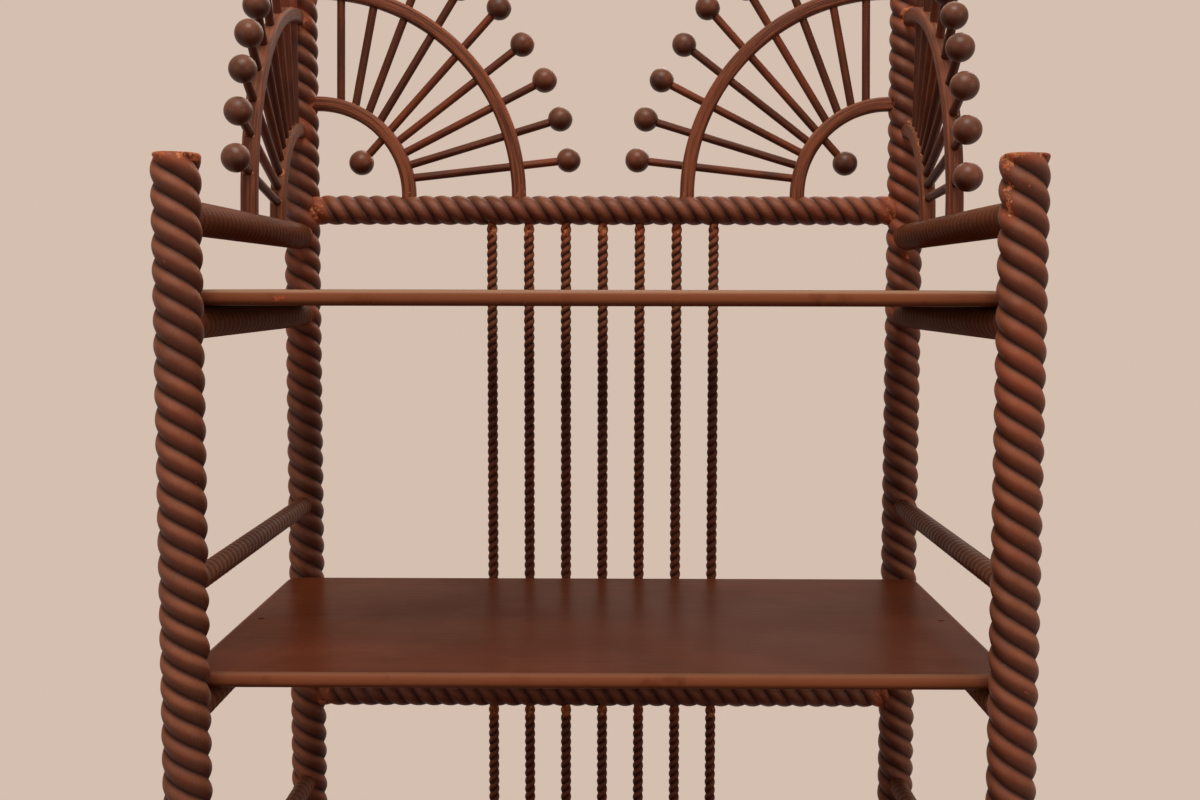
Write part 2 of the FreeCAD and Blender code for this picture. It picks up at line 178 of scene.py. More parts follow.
class FanSizes(bpy.types.PropertyGroup):
    """Dowels and balls of the fans; the bows come from the frame."""
    seat: length("Seat", "Depth of a bow's foot in its rail", 0.006)
    bow_corner: length("Bow corner", "Rounding of the bow's long edges", 0.0035)
    spokes: count("Spokes", "Spokes in a fan", 9)
    spoke: length("Spoke", "Thickness of a spoke", 0.0075)
    ball: length("Ball", "Diameter of a ball", 0.023)
    inner_reach: length("Inner reach", "Centre of an inner ball from the hub point", 0.029)
    bow_worn: length("Bow wear", "Depth of the wear on bows and balls", 0.0005)
    spoke_worn: length("Spoke wear", "Depth of the wear on spokes", 0.00025)


def spoke_layout(hub_out, hub_up, first, step, reach, middle_reach, inner_ball=False):
    """Properties that set out the spokes of one kind of fan."""
    return {
        "hub_out": length("Hub out", "Point that the spokes aim at, out from the bows' centre",
                          hub_out),
        "hub_up": length("Hub up", "Point that the spokes aim at, above the rail", hub_up),
        "first": angle("First spoke", "Rise of the lowest spoke over the rail", first),
        "step": angle("Spoke step", "Angle between two spokes", step),
        "reach": length("Reach", "Centre of a ball from the hub point", reach),
        "middle_reach": length("Middle reach", "Centre of the middle ball from the hub",
                               middle_reach),
        "inner_ball": BoolProperty(name="Inner ball", default=inner_ball,
                                   description="The middle spoke goes on to a ball inside"),
    }


class BackSpokes(bpy.types.PropertyGroup):
    """How the spokes are set out in the fans along the back."""
    __annotations__ = spoke_layout(hub_out=0.0205, hub_up=0.0084, first=6.5, step=10.35,
                                   reach=0.213, middle_reach=0.220, inner_ball=True)


class LeftSpokes(bpy.types.PropertyGroup):
    """How the spokes are set out in the left side's fan."""
    __annotations__ = spoke_layout(hub_out=0.011, hub_up=0.0, first=10.4, step=9.9,
                                   reach=0.220, middle_reach=0.220)


class RightSpokes(bpy.types.PropertyGroup):
    """How the spokes are set out in the right side's fan."""
    __annotations__ = spoke_layout(hub_out=0.024, hub_up=0.015, first=3.0, step=10.2,
                                   reach=0.205, middle_reach=0.205)


class WoodColours(bpy.types.PropertyGroup):
    """Stains, dirt and worn wood."""
    # The ridge colour is also the painted highlight on the upper side of each strand.
    ridge: colour("Ridge", "Top of a strand, rubbed by hands", (0.54, 0.31, 0.205))
    flank: colour("Flank", "Side of a strand", (0.38, 0.185, 0.11))
    # The groove colour is also painted shade, in the grooves and on what faces down.
    groove: colour("Groove", "Bottom of a groove, and dirt", (0.19, 0.078, 0.045))
    rail_ridge: colour("Rail ridge", "Top of a side rail's strand", (0.42, 0.24, 0.155))
    rail_flank: colour("Rail flank", "Side of a side rail's strand", (0.385, 0.21, 0.132))
    bow_dark: colour("Bow dark", "Dark grain of a bow", (0.31, 0.15, 0.09))
    bow_light: colour("Bow light", "Bright grain of a bow", (0.56, 0.305, 0.19))
    spoke_dark: colour("Spoke dark", "Dark side of a spoke", (0.28, 0.14, 0.085))
    spoke_light: colour("Spoke light", "Warm grain of a spoke", (0.50, 0.235, 0.125))
    ball: colour("Ball", "Stain of a ball", (0.40, 0.22, 0.145))
    ball_dark: colour("Ball dark", "Dirt on a ball", (0.26, 0.14, 0.09))
    shelf: colour("Shelf", "Stain of a shelf", (0.485, 0.235, 0.125))
    # The darker front of a shelf is painted shade.
    shelf_dark: colour("Shelf dark", "Darker front and clouds of a shelf", (0.29, 0.122, 0.054))
    shelf_edge: colour("Shelf edge", "Rubbed edge of a shelf", (0.50, 0.285, 0.195))
    warm: colour("Warm stain", "Redder places, rubbed thin", (0.56, 0.255, 0.135))
    orange: colour("Orange", "Wood just under the stain", (0.66, 0.33, 0.19))
    bare: colour("Bare wood", "Wood where the stain is chipped off", (0.72, 0.47, 0.31))
    # The dust colour is also the painted highlight along a shelf's rounded edge.
    dust: colour("Dust", "Dust and fine scuffs", (0.60, 0.46, 0.37))


class StageSettings(bpy.types.PropertyGroup):
    """Camera, floor and light."""
    camera_at: FloatVectorProperty(name="Camera", description="Place of the camera", size=3,
                                   default=(0.0085, -1.189, 1.001), subtype="TRANSLATION")
    lens: number("Lens", "Focal length in millimetres", 44.56)
    turn: angle("Turn", "Camera turned to the left", 0.45)
    tip: angle("Tip", "Camera tipped down", 4.287)
    roll: angle("Roll", "Camera rolled", 0.095)
    paper: colour("Paper", "Floor and background", (0.835, 0.75, 0.69))
    world: number("World", "Strength of the light all round", 0.27)
    key: number("Key", "Power of the main light", 42.0)
    fill: number("Fill", "Power of the right fill light; the left one is weaker", 9.0)
    rim: number("Rim", "Power of the light from behind", 26.0)


# ---- node building ------------------------------------------------------------------------

def linear(shade):
    """Screen colour to the linear colour that nodes take."""
    values = [c / 12.92 if c <= 0.04045 else ((c + 0.055) / 1.055) ** 2.4 for c in shade]
    return (*values, 1.0)


class Graph:
    """Short calls for building a node tree."""

    def __init__(self, tree):
        self.tree = tree

    def feed(self, socket, value):
        """Links an output to a socket, or sets the socket's own value."""
        if isinstance(value, bpy.types.NodeSocket):
            self.tree.links.new(value, socket)
        elif value is not None:
            socket.default_value = value

    def node(self, kind, inputs=None, **settings):
        """New node with its settings, and its inputs given by name or number."""
        node = self.tree.nodes.new(kind)
        for name, value in settings.items():
            setattr(node, name, value)
        for key, value in (inputs or {}).items():
            self.feed(node.inputs[key], value)
        return node

    def run(self, kind, inputs=None, **settings):
        """First output of such a node."""
        return self.node(kind, inputs, **settings).outputs[0]

    def math(self, operation, first, second=None, third=None):
        return self.run("ShaderNodeMath", {0: first, 1: second, 2: third}, operation=operation)

    def plus(self, first, second):
        return self.math("ADD", first, second)

    def minus(self, first, second):
        return self.math("SUBTRACT", first, second)

    def times(self, first, second):
        return self.math("MULTIPLY", first, second)

    def over(self, first, second):
        return self.math("DIVIDE", first, second)

    def squared(self, value):
        return self.math("POWER", value, 2.0)

    def larger(self, first, second):
        return self.math("MAXIMUM", first, second)

    def smaller(self, first, second):
        return self.math("MINIMUM", first, second)

    def join(self, x, y, z):
        return self.run("ShaderNodeCombineXYZ", {0: x, 1: y, 2: z})

    def parts(self, vector):
        """The x, y and z of a vector."""
        return self.node("ShaderNodeSeparateXYZ", {0: vector}).outputs

    def scaled(self, vector, factor):
        return self.run("ShaderNodeVectorMath", {0: vector, "Scale": factor}, operation="SCALE")

    def stretched(self, vector, factors):
        """Vector with each of its parts times its own factor."""
        return self.run("ShaderNodeVectorMath", {0: vector, 1: factors}, operation="MULTIPLY")

    def size(self, vector):
        return self.node("ShaderNodeVectorMath", {0: vector},
                         operation="LENGTH").outputs["Value"]

    def position(self):
        return self.run("GeometryNodeInputPosition")

    def between(self, value, low, high):
        """0 below low, 1 above high, smooth in between."""
        return self.run("ShaderNodeMapRange",
                        {"Value": value, "From Min": low, "From Max": high},
                        interpolation_type="SMOOTHSTEP")

    def blend(self, factor, first, second):
        """Number from first at 0 to second at 1."""
        return self.run("ShaderNodeMix", {0: factor, 2: first, 3: second})

    def mix(self, factor, first, second):
        """Colour from first at 0 to second at 1."""
        return self.node("ShaderNodeMix", {0: factor, 6: first, 7: second},
                         data_type="RGBA").outputs[2]

    def stain(self, shade, stain, mask, strength=None):
        """Shade with a stain laid over it where the mask is 1; both may be screen colours."""
        if strength is not None:
            mask = self.times(mask, strength)
        colours = [value if isinstance(value, bpy.types.NodeSocket) else linear(value)
                   for value in (shade, stain)]
        return self.mix(mask, *colours)

    def noise(self, place, scale, detail, roughness, seed=None):
        """Cloudy noise, in its own way for each seed."""
        inputs = {"Vector": place, "Scale": scale, "Detail": detail, "Roughness": roughness}
        if seed is None:
            return self.run("ShaderNodeTexNoise", inputs, noise_dimensions="3D")
        return self.run("ShaderNodeTexNoise", inputs | {"W": seed}, noise_dimensions="4D")

    def patches(self, place, scale, detail, roughness, low, high):
        """Mask that is 1 where such noise is above high and 0 where it is below low."""
        return self.between(self.noise(place, scale, detail, roughness), low, high)


def new_tree(name, kind, inputs, outputs):
    """Node tree with named sockets; returns its graph, its inputs and its outputs."""
    tree = bpy.data.node_groups.new(name, kind)
    for way, sockets in (("INPUT", inputs), ("OUTPUT", outputs)):
        for socket, form in sockets.items():
            tree.interface.new_socket(socket, in_out=way, socket_type="NodeSocket" + form)
    graph = Graph(tree)
    start = graph.node("NodeGroupInput")
    end = graph.node("NodeGroupOutput")
    return graph, start.outputs, end.inputs


def tree_named(name, build):
    """The tree of that name, built on first use."""
    return bpy.data.node_groups.get(name) or build()


# ---- geometry node trees ------------------------------------------------------------------

BAR_INPUTS = {"Geometry": "Geometry", "Reference": "Vector", "Wear Depth": "Float",
              "Seed": "Float", "Material": "Material"}
GEOMETRY_OUT = {"Geometry": "Geometry"}


def strand_radius(graph, turn, strands, crest, groove):
    """Radius of a section of round strands, by the angle round its axis."""
    half = graph.over(math.pi, strands)
    swing = graph.math("WRAP", turn, graph.times(half, -1.0), half)
    rise = graph.minus(graph.squared(crest), graph.squared(groove))
    span = graph.minus(crest, graph.times(groove, graph.math("COSINE", half)))
    middle = graph.over(rise, graph.times(span, 2.0))
    arc = graph.minus(crest, middle)
    across = graph.times(middle, graph.math("SINE", swing))
    inside = graph.minus(graph.squared(arc), graph.squared(across))
    return graph.plus(graph.times(middle, graph.math("COSINE", swing)),
                      graph.math("SQRT", inside))


def store(graph, geometry, name, value, form="FLOAT", domain="POINT"):
    return graph.run("GeometryNodeStoreNamedAttribute",
                     {"Geometry": geometry, "Name": name, "Value": value},
                     data_type=form, domain=domain)


def store_section(graph, geometry):
    """Keeps each point's place before the sweep or the turning, for the materials."""
    return store(graph, geometry, "section", graph.position(), "FLOAT_VECTOR")


def bar_paths(graph, source):
    """Curves from a mesh's edges, the length run along them and to the nearer end."""
    curves = graph.run("GeometryNodeMeshToCurve", {0: source["Geometry"]})
    paths = graph.run("GeometryNodeSetCurveNormal",
                      {"Curve": curves, "Normal": source["Reference"]}, mode="FREE")
    along = graph.node("GeometryNodeSplineParameter").outputs["Length"]
    rest = graph.minus(graph.run("GeometryNodeSplineLength"), along)
    near = graph.smaller(along, rest)
    paths = store(graph, paths, "along", along)
    paths = store(graph, paths, "near_end", near)
    return paths, along, near


def end_scale(graph, near, rounding, radius):
    """Scale of the section near a rounded end."""
    reach = graph.larger(rounding, 1e-6)
    inward = graph.minus(1.0, graph.smaller(graph.over(near, reach), 1.0))
    fall = graph.minus(1.0, graph.math("SQRT", graph.minus(1.0, graph.squared(inward))))
    lost = graph.times(fall, graph.over(rounding, radius))
    return graph.minus(1.0, lost)


def random_number(graph, low, high, seed):
    return graph.node("FunctionNodeRandomValue", {2: low, 3: high, "Seed": seed},
                      data_type="FLOAT").outputs[1]


def worn_surface(graph, mesh, source, scale):
    """Small uneven wear along the normals."""
    uneven = graph.minus(graph.noise(graph.position(), scale, 3.0, 0.5, source["Seed"]), 0.5)
    normal = graph.run("GeometryNodeInputNormal")
    offset = graph.scaled(normal, graph.times(uneven, source["Wear Depth"]))
    return graph.run("GeometryNodeSetPosition", {"Geometry": mesh, "Offset": offset})


def smooth_surface(graph, mesh):
    return graph.run("GeometryNodeSetShadeSmooth", {"Geometry": mesh, "Shade Smooth": True})


def finish_tree(graph, geometry, source, target):
    """Real geometry with its material, as the tree's output."""
    real = graph.run("GeometryNodeRealizeInstances", {0: geometry})
    painted = graph.run("GeometryNodeSetMaterial",
                        {"Geometry": real, "Material": source["Material"]})
    graph.feed(target[0], painted)


def sweep(graph, paths, outline, source, target, scale, wear_scale, crease):
    """Worn bars of that outline, smooth but for creases over some degrees."""
    mesh = graph.run("GeometryNodeCurveToMesh",
                     {"Curve": paths, "Profile Curve": outline, "Fill Caps": True,
                      "Scale": scale})
    mesh = smooth_surface(graph, worn_surface(graph, mesh, source, wear_scale))
    sharp = graph.math("GREATER_THAN", graph.run("GeometryNodeInputMeshEdgeAngle"),
                       math.radians(crease))
    mesh = graph.run("GeometryNodeSetShadeSmooth",
                     {"Geometry": mesh, "Selection": sharp, "Shade Smooth": False},
                     domain="EDGE")
    finish_tree(graph, mesh, source, target)


def rope_twist_tree():
    """Rope-twist bars along the edges of a mesh."""
    graph, source, target = new_tree(
        "Rope Twist", "GeometryNodeTree",
        BAR_INPUTS | {"Strands": "Int", "Crest Radius": "Float", "Groove Radius": "Float",
                      "Turn Length": "Float", "Points per Strand": "Int",
                      "End Rounding": "Float"}, GEOMETRY_OUT)
    crest = source["Crest Radius"]
    groove = source["Groove Radius"]
    paths, along, near = bar_paths(graph, source)
    tilt = graph.times(graph.over(along, source["Turn Length"]), 2 * math.pi)
    paths = graph.run("GeometryNodeSetCurveTilt", {"Curve": paths, "Tilt": tilt})
    scale = end_scale(graph, near, source["End Rounding"], crest)

    points = graph.times(source["Strands"], source["Points per Strand"])
    circle = graph.run("GeometryNodeCurvePrimitiveCircle",
                       {"Resolution": points, "Radius": 1.0})
    x, y, _ = graph.parts(graph.position())
    turn = graph.math("ARCTAN2", y, x)
    radius = strand_radius(graph, turn, source["Strands"], crest, groove)
    ridge = graph.over(graph.minus(radius, groove), graph.minus(crest, groove))
    circle = store(graph, circle, "ridge", ridge)
    section = graph.scaled(graph.position(), radius)
    circle = graph.run("GeometryNodeSetPosition", {"Geometry": circle, "Position": section})
    sweep(graph, paths, store_section(graph, circle), source, target, scale=scale,
          wear_scale=90.0, crease=38)
    return graph.tree


def rounded_bar_tree():
    """Bars of rounded square or round section along the edges of a mesh."""
    graph, source, target = new_tree(
        "Rounded Bar", "GeometryNodeTree",
        BAR_INPUTS | {"Width": "Float", "Corner": "Float"}, GEOMETRY_OUT)
    paths, _, _ = bar_paths(graph, source)
    tone = random_number(graph, 0.0, 1.0, source["Seed"])
    paths = store(graph, paths, "tone", tone, domain="CURVE")
    square = graph.run("GeometryNodeCurvePrimitiveQuadrilateral",
                       {"Width": source["Width"], "Height": source["Width"]})
    outline = graph.run("GeometryNodeFilletCurve",
                        {"Curve": square, "Radius": source["Corner"],
                         "Count": BAR_CORNER_POINTS}, mode="POLY")
    sweep(graph, paths, store_section(graph, outline), source, target, scale=1.0,
          wear_scale=45.0, crease=50)
    return graph.tree


def turned_ball_tree():
    """Balls on points; each point's axis attribute is the way of its spoke."""
    graph, source, target = new_tree(
        "Turned Balls", "GeometryNodeTree",
        {"Geometry": "Geometry", "Radius": "Float", "Pole": "Float", "Uneven": "Float",
         "Wear Depth": "Float", "Seed": "Float", "Material": "Material"}, GEOMETRY_OUT)
    sphere = graph.run("GeometryNodeMeshUVSphere",
                       {"Segments": BALL_SEGMENTS, "Rings": BALL_RINGS,
                        "Radius": source["Radius"]})
    x, y, z = graph.parts(graph.position())
    pole = graph.times(source["Radius"], source["Pole"])
    flat = graph.join(x, y, graph.smaller(z, pole))
    sphere = graph.run("GeometryNodeSetPosition", {"Geometry": sphere, "Position": flat})
    sphere = store_section(graph, sphere)
    axis = graph.run("GeometryNodeInputNamedAttribute", {"Name": "axis"},
                     data_type="FLOAT_VECTOR")
    aim = graph.run("FunctionNodeAlignRotationToVector", {"Vector": axis}, axis="Z")
    size = random_number(graph, graph.minus(1.0, source["Uneven"]), 1.0, source["Seed"])
    points = graph.run("GeometryNodeMeshToPoints", {0: source["Geometry"]})
    balls = graph.run("GeometryNodeInstanceOnPoints",
                      {"Points": points, "Instance": sphere, "Rotation": aim, "Scale": size})
    balls = graph.run("GeometryNodeRealizeInstances", {0: balls})
    balls = smooth_surface(graph, worn_surface(graph, balls, source, 70.0))
    finish_tree(graph, balls, source, target)
    return graph.tree


# ---- meshes -------------------------------------------------------------------------------

def link(name, data):
    piece = bpy.data.objects.new(name, data)
    bpy.context.scene.collection.objects.link(piece)
    return piece


def settle(name, mesh, slot_name, *nodes):
    """Seats a finished piece in the frame in place of its CAD nodes."""
    piece = link(name, mesh)
    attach(piece, BODY)
    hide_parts(*nodes)


def path_mesh(name, paths):
    """Mesh of open chains of edges through the points of each path."""
    points = []
    edges = []
    for path in paths:
        first = len(points)
        points += [tuple(point) for point in path]
        edges += [(first + k, first + k + 1) for k in range(len(path) - 1)]
    mesh = bpy.data.meshes.new(name)
    mesh.from_pydata(points, edges, [])
    return mesh


def grown(name, source, tree, inputs):
    """Plain mesh that a geometry tree grows from a source mesh."""
    seed = link(name + "_seed", source)
    modifier = seed.modifiers.new("Grow", "NODES")
    modifier.node_group = tree
    sockets = {item.name: item.identifier for item in tree.interface.items_tree
               if item.in_out == "INPUT"}
    for key, value in inputs.items():
        modifier[sockets[key]] = value
    bpy.context.view_layer.update()
    evaluated = seed.evaluated_get(bpy.context.evaluated_depsgraph_get())
    mesh = bpy.data.meshes.new_from_object(evaluated)
    mesh.name = name
    seed.modifiers.remove(modifier)
    bpy.data.objects.remove(seed)
    bpy.data.meshes.remove(source)
    return mesh


def stations(start, end, step):
    """Points from start to end: close together at the ends, then one per step."""
    run = end - start
    last = CLOSE_STATIONS[-1]
    inner = run.length - 2 * last
    parts = max(2, round(inner / step))
    places = list(CLOSE_STATIONS) + [last + inner * k / parts for k in range(1, parts)]
    places += [run.length - place for place in reversed(CLOSE_STATIONS)]
    way = run.normalized()
    return [start + way * place for place in places]


def rope_bars(name, bars, strands, crest, groove, turn, reference, material, worn,
              rounding=0.0, seed=1.0, points=12, steps=30):
    """Mesh of rope-twist bars; turn is negative for a left-handed twist."""
    paths = [stations(start, end, abs(turn) / steps) for start, end in bars]
    return grown(name, path_mesh(name, paths), tree_named("Rope Twist", rope_twist_tree),
                 {"Reference": reference, "End Rounding": rounding, "Wear Depth": worn,
                  "Seed": seed, "Material": material, "Strands": strands,
                  "Crest Radius": crest, "Groove Radius": groove, "Turn Length": turn,
                  "Points per Strand": points})


def rounded_bars(name, paths, width, corner, reference, material, worn, seed):
    """Mesh of bars with a rounded square section, or round ones."""
    return grown(name, path_mesh(name, paths), tree_named("Rounded Bar", rounded_bar_tree),
                 {"Reference": reference, "Wear Depth": worn, "Seed": seed,
                  "Material": material, "Width": width, "Corner": corner})


def board_outline(low, high, inset):
    """Plan of a board with rounded corners, drawn in by inset."""
    points = []
    corners = ((high.x, low.y, FRONT_CORNER, -90), (high.x, high.y, BACK_CORNER, 0),
               (low.x, high.y, BACK_CORNER, 90), (low.x, low.y, FRONT_CORNER, 180))
    for x, y, radius, first in corners:
        centre_x = x + (-radius if x == high.x else radius)
        centre_y = y + (-radius if y == high.y else radius)
        for k in range(CORNER_STEPS + 1):
            turn = math.radians(first + 90 * k / CORNER_STEPS)
            points.append((centre_x + (radius - inset) * math.cos(turn),
                           centre_y + (radius - inset) * math.sin(turn)))
    return points


def hole_ring(body, place, z):
    """Ring of points round a nail's hole."""
    turns = [2 * math.pi * k / HOLE_SIDES for k in range(HOLE_SIDES)]
    return [body.verts.new((place[0] + NAIL_HOLE * math.cos(turn),
                            place[1] + NAIL_HOLE * math.sin(turn), z)) for turn in turns]


def wall(body, lower, upper):
    """Band of faces between two closed rings of points."""
    for k in range(len(lower)):
        body.faces.new((lower[k], lower[k - 1], upper[k - 1], upper[k]))


def board_mesh(name, low, high, nails):
    """Board with rounded-over edges and sunk nail holes; edge is 1 on the rounding."""
    body = bmesh.new()
    edge = body.verts.layers.float.new("edge")
    rings = []
    levels = []
    for k in range(EDGE_STEPS + 1):
        turn = math.pi / 2 * k / EDGE_STEPS
        levels.append((EDGE_ROUND * (1 - math.sin(turn)), EDGE_ROUND * (1 - math.cos(turn))))
    profile = [(inset, low.z + rise) for inset, rise in levels]
    profile += [(inset, high.z - rise) for inset, rise in reversed(levels)]
    for inset, z in profile:
        ring = [body.verts.new((x, y, z)) for x, y in board_outline(low, high, inset)]
        for vertex in ring:
            vertex[edge] = 1.0 - inset / EDGE_ROUND
        rings.append(ring)
    for lower, upper in zip(rings, rings[1:]):
        wall(body, lower, upper)
    body.faces.new(rings[0])
    mouths = [rings[-1]]
    for place in nails:
        mouth = hole_ring(body, place, high.z)
        bottom = hole_ring(body, place, high.z - NAIL_SUNK)
        wall(body, bottom, mouth)
        body.faces.new(bottom)
        mouths.append(mouth)
    rims = [body.edges.get((ring[k - 1], ring[k])) for ring in mouths
            for k in range(len(ring))]
    bmesh.ops.triangle_fill(body, edges=rims, use_beauty=True, normal=(0, 0, 1))
    bmesh.ops.recalc_face_normals(body, faces=body.faces)
    for face in body.faces:
        face.smooth = len(face.verts) == 4
    mesh = bpy.data.meshes.new(name)
    body.to_mesh(mesh)
    body.free()
    return mesh


# ---- places in the frame ------------------------------------------------------------------

def middle(node):
    low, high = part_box(node)
    return (low + high) / 2


def bar_along(node, axis, cut=0.0):
    """Start and end of a round bar along an axis, cut back by some length, and its radius."""
    low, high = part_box(node)
    start = (low + high) / 2
    end = start.copy()
    start[axis] = low[axis] + cut
    end[axis] = high[axis] - cut
    across = 2 if axis == 0 else 0
    return start, end, (high[across] - low[across]) / 2


def nail_places():
    """Plan places of the two nails of a shelf."""
    low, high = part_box("shelf_nails")
    y = (low.y + high.y) / 2
    return (low.x + NAIL_HEAD, y), (high.x - NAIL_HEAD, y)


class Fan:
    """Bows, spokes and balls in one corner, measured from the CAD bows."""

    def __init__(self, title, scene):
        self.sizes = scene.etagere_fans
        self.layout = getattr(scene, FANS[title])
        low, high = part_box(title + "_outer_bow")
        axis = 0 if title.startswith("back") else 1
        outward = 1 if title == "back_fan_left" else -1
        self.width = high[1 - axis] - low[1 - axis]
        half = self.width / 2
        rail_top = low.z + self.sizes.seat
        self.outer = high.z - half - rail_top
        self.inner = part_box(title + "_inner_bow")[1].z - half - rail_top
        self.up = Vector((0, 0, 1))
        self.out = Vector((0, 0, 0))
        self.out[axis] = outward
        self.normal = self.out.cross(self.up)
        far = high[axis] if outward > 0 else low[axis]
        self.centre = (low + high) / 2
        self.centre[axis] = far - outward * (half + self.outer)
        self.centre.z = rail_top
        self.hub = self.centre + self.out * self.layout.hub_out + self.up * self.layout.hub_up

    def toward(self, turn):
        """Direction in the fan's plane, turned up from the rail."""
        return self.out * math.cos(turn) + self.up * math.sin(turn)

    def bow_path(self, radius):
        """From the foot in the rail, round the quarter, into the post."""
        points = [self.centre + self.out * radius - self.up * self.sizes.seat]
        for k in range(BOW_STEPS + 1):
            points.append(self.centre + self.toward(math.pi / 2 * k / BOW_STEPS) * radius)
        points.append(points[-1] - self.out * (BOW_CENTRE - SHOULDER))
        return points

    def way(self, spoke):
        return self.toward(self.layout.first + spoke * self.layout.step)

    def is_middle(self, spoke):
        return spoke == (self.sizes.spokes - 1) // 2

    def has_inner_ball(self, spoke):
        return self.layout.inner_ball and self.is_middle(spoke)

    def ball_reach(self, spoke):
        return self.layout.middle_reach if self.is_middle(spoke) else self.layout.reach

    def to_circle(self, spoke, radius):
        """Distance from the hub along a spoke to a circle about the bows' centre."""
        offset = self.hub - self.centre
        along = offset.dot(self.way(spoke))
        return -along + math.sqrt(along ** 2 - offset.length_squared + radius ** 2)

    def spoke_paths(self):
        paths = []
        for spoke in range(self.sizes.spokes):
            way = self.way(spoke)
            start = self.to_circle(spoke, self.inner - SPOKE_PEG)
            if self.has_inner_ball(spoke):
                start = self.sizes.inner_reach
            paths.append(stations(self.hub + way * start,
                                  self.hub + way * self.ball_reach(spoke), SPOKE_STEP))
        return paths

    def holes(self, radius):
        """Mouths of the spoke holes on both faces of a bow."""
        mouths = []
        for spoke in range(self.sizes.spokes):
            for face in (radius - self.width / 2, radius + self.width / 2):
                place = self.hub + self.way(spoke) * self.to_circle(spoke, face)
                mouths.append((place, self.sizes.spoke / 2 + HOLE_RIM))
        return mouths

    def bow_heads(self):
        """Where the bows enter the post."""
        return [(self.centre + self.up * radius, self.width * BOW_HEAD_WEAR)
                for radius in (self.inner, self.outer)]

    def balls(self):
        """Centre and spoke direction of every ball."""
        places = []
        for spoke in range(self.sizes.spokes):
            way = self.way(spoke)
            places.append((self.hub + way * self.ball_reach(spoke), way))
            if self.has_inner_ball(spoke):
                places.append((self.hub + way * self.sizes.inner_reach, -way))
        return places


def post_joints(name, scene):
    """Worn places of a post, each with its radius: where rails and bows enter it, knocks
    on it and its top rim."""
    start, end, radius = bar_along(name, 2)
    side = "left" if start.x < 0 else "right"
    inward = 1 if start.y < 0 else -1
    places = []
    for tier in TIERS:
        for kind in SIDE_RAILS:
            low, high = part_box("%s_%d_%s" % (kind, tier, side))
            place = Vector((start.x, start.y + inward * radius * RAIL_WEAR_AT,
                            (low.z + high.z) / 2))
            places.append((place, (high.z - low.z) / 2 - SIDE_RAIL_INSET))
    if name.startswith("back"):
        across = 1 if side == "left" else -1
        for row in BACK_RAILS:
            place = Vector((start.x + across * radius * RAIL_WEAR_AT, start.y,
                            middle("back_rail_" + row).z))
            places.append((place, BACK_RAIL_WEAR))
        for title in FANS:
            if title.endswith(side):
                places += Fan(title, scene).bow_heads()
        low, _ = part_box("gallery_rail_%d_%s" % (TOP_TIER, side))
        knock = Vector((start.x, start.y - radius * KNOCK_AT, low.z - KNOCK_UNDER_RAIL))
        places.append((knock, KNOCK))
    elif side == "right":
        across, forward = RUBBED_AT
        for drop in RUBBED_DROPS:
            place = end + Vector((radius * across, radius * forward, -drop))
            places.append((place, RUBBED_SPOT))
    for turn in RIM_SPOTS:
        rim = Vector((math.cos(turn), math.sin(turn), 0))
        places.append((end + rim * radius, RIM_SPOT))
    return places


def mark_worn(mesh, places, fade):
    """Stores on each point how near it is to a worn place: 1 inside, 0 past the fade."""
    tree = KDTree(len(places))
    for order, (place, _) in enumerate(places):
        tree.insert(place, order)
    tree.balance()
    values = []
    for vertex in mesh.vertices:
        _, order, distance = tree.find(vertex.co)
        nearness = (places[order][1] + fade - distance) / fade
        values.append(min(max(nearness, 0.0), 1.0))
    worn = mesh.attributes.new("joint", "FLOAT", "POINT")
    worn.data.foreach_set("value", values)


# ---- shared shader groups -----------------------------------------------------------------

def facing_up(graph):
    """How far the surface faces up: 1 on top, 0 on a side, -1 below."""
    geometry = graph.node("ShaderNodeNewGeometry")
    return graph.parts(geometry.outputs["Normal"])[2]


def grain_group():
    """Long wood grain: streaks and pores along the third coordinate."""
    graph, source, target = new_tree(
        "Long Grain", "ShaderNodeTree",
        {"Place": "Vector", "Fineness": "Float", "Stretch": "Float", "Seed": "Float"},
        {"Streak": "Float", "Pore": "Float"})
    x, y, z = graph.parts(source["Place"])
    place = graph.join(x, y, graph.over(z, source["Stretch"]))
    wide = graph.noise(place, source["Fineness"], 3.0, 0.6, source["Seed"])
    fine = graph.noise(place, graph.times(source["Fineness"], 3.1), 2.0, 0.6, source["Seed"])
    graph.feed(target["Streak"], graph.blend(0.4, graph.between(wide, 0.3, 0.7),
                                             graph.between(fine, 0.3, 0.7)))
    graph.feed(target["Pore"], graph.between(fine, 0.60, 0.72))
    return graph.tree


def chip_group():
    """Patches where the stain is rubbed or chipped off; Amount goes from 0 to 1."""
    graph, source, target = new_tree(
        "Chipped Stain", "ShaderNodeTree",
        {"Place": "Vector", "Exposure": "Float", "Amount": "Float", "Scale": "Float"},
        {"Mask": "Float"})
    large = graph.noise(source["Place"], graph.times(source["Scale"], 0.16), 2.0, 0.5)
    small = graph.noise(source["Place"], source["Scale"], 4.0, 0.7)
    reach = graph.times(graph.times(large, small), source["Exposure"])
    edge = graph.minus(0.52, graph.times(source["Amount"], 0.3))
    graph.feed(target["Mask"], graph.between(reach, edge, graph.plus(edge, 0.025)))
    return graph.tree


def dust_group():
    """Dust on what faces up, painted shade on what faces down, and pale specks everywhere."""
    graph, source, target = new_tree(
        "Dust and Dirt", "ShaderNodeTree",
        {"Place": "Vector", "Dust": "Float", "Dirt": "Float", "Specks": "Float"},
        {"Dust": "Float", "Dirt": "Float"})
    up = facing_up(graph)
    cloud = graph.noise(source["Place"], 38.0, 4.0, 0.6)
    dust = graph.times(graph.times(graph.between(up, -0.1, 0.9), cloud), source["Dust"])
    speck = graph.patches(source["Place"], 620.0, 1.0, 0.5, 0.755, 0.79)
    graph.feed(target["Dust"], graph.larger(dust, graph.times(speck, source["Specks"])))
    # The Dirt output is painted shade, not dirt: it darkens what faces down.
    graph.feed(target["Dirt"], graph.times(graph.between(up, 0.25, -0.75), source["Dirt"]))
    return graph.tree


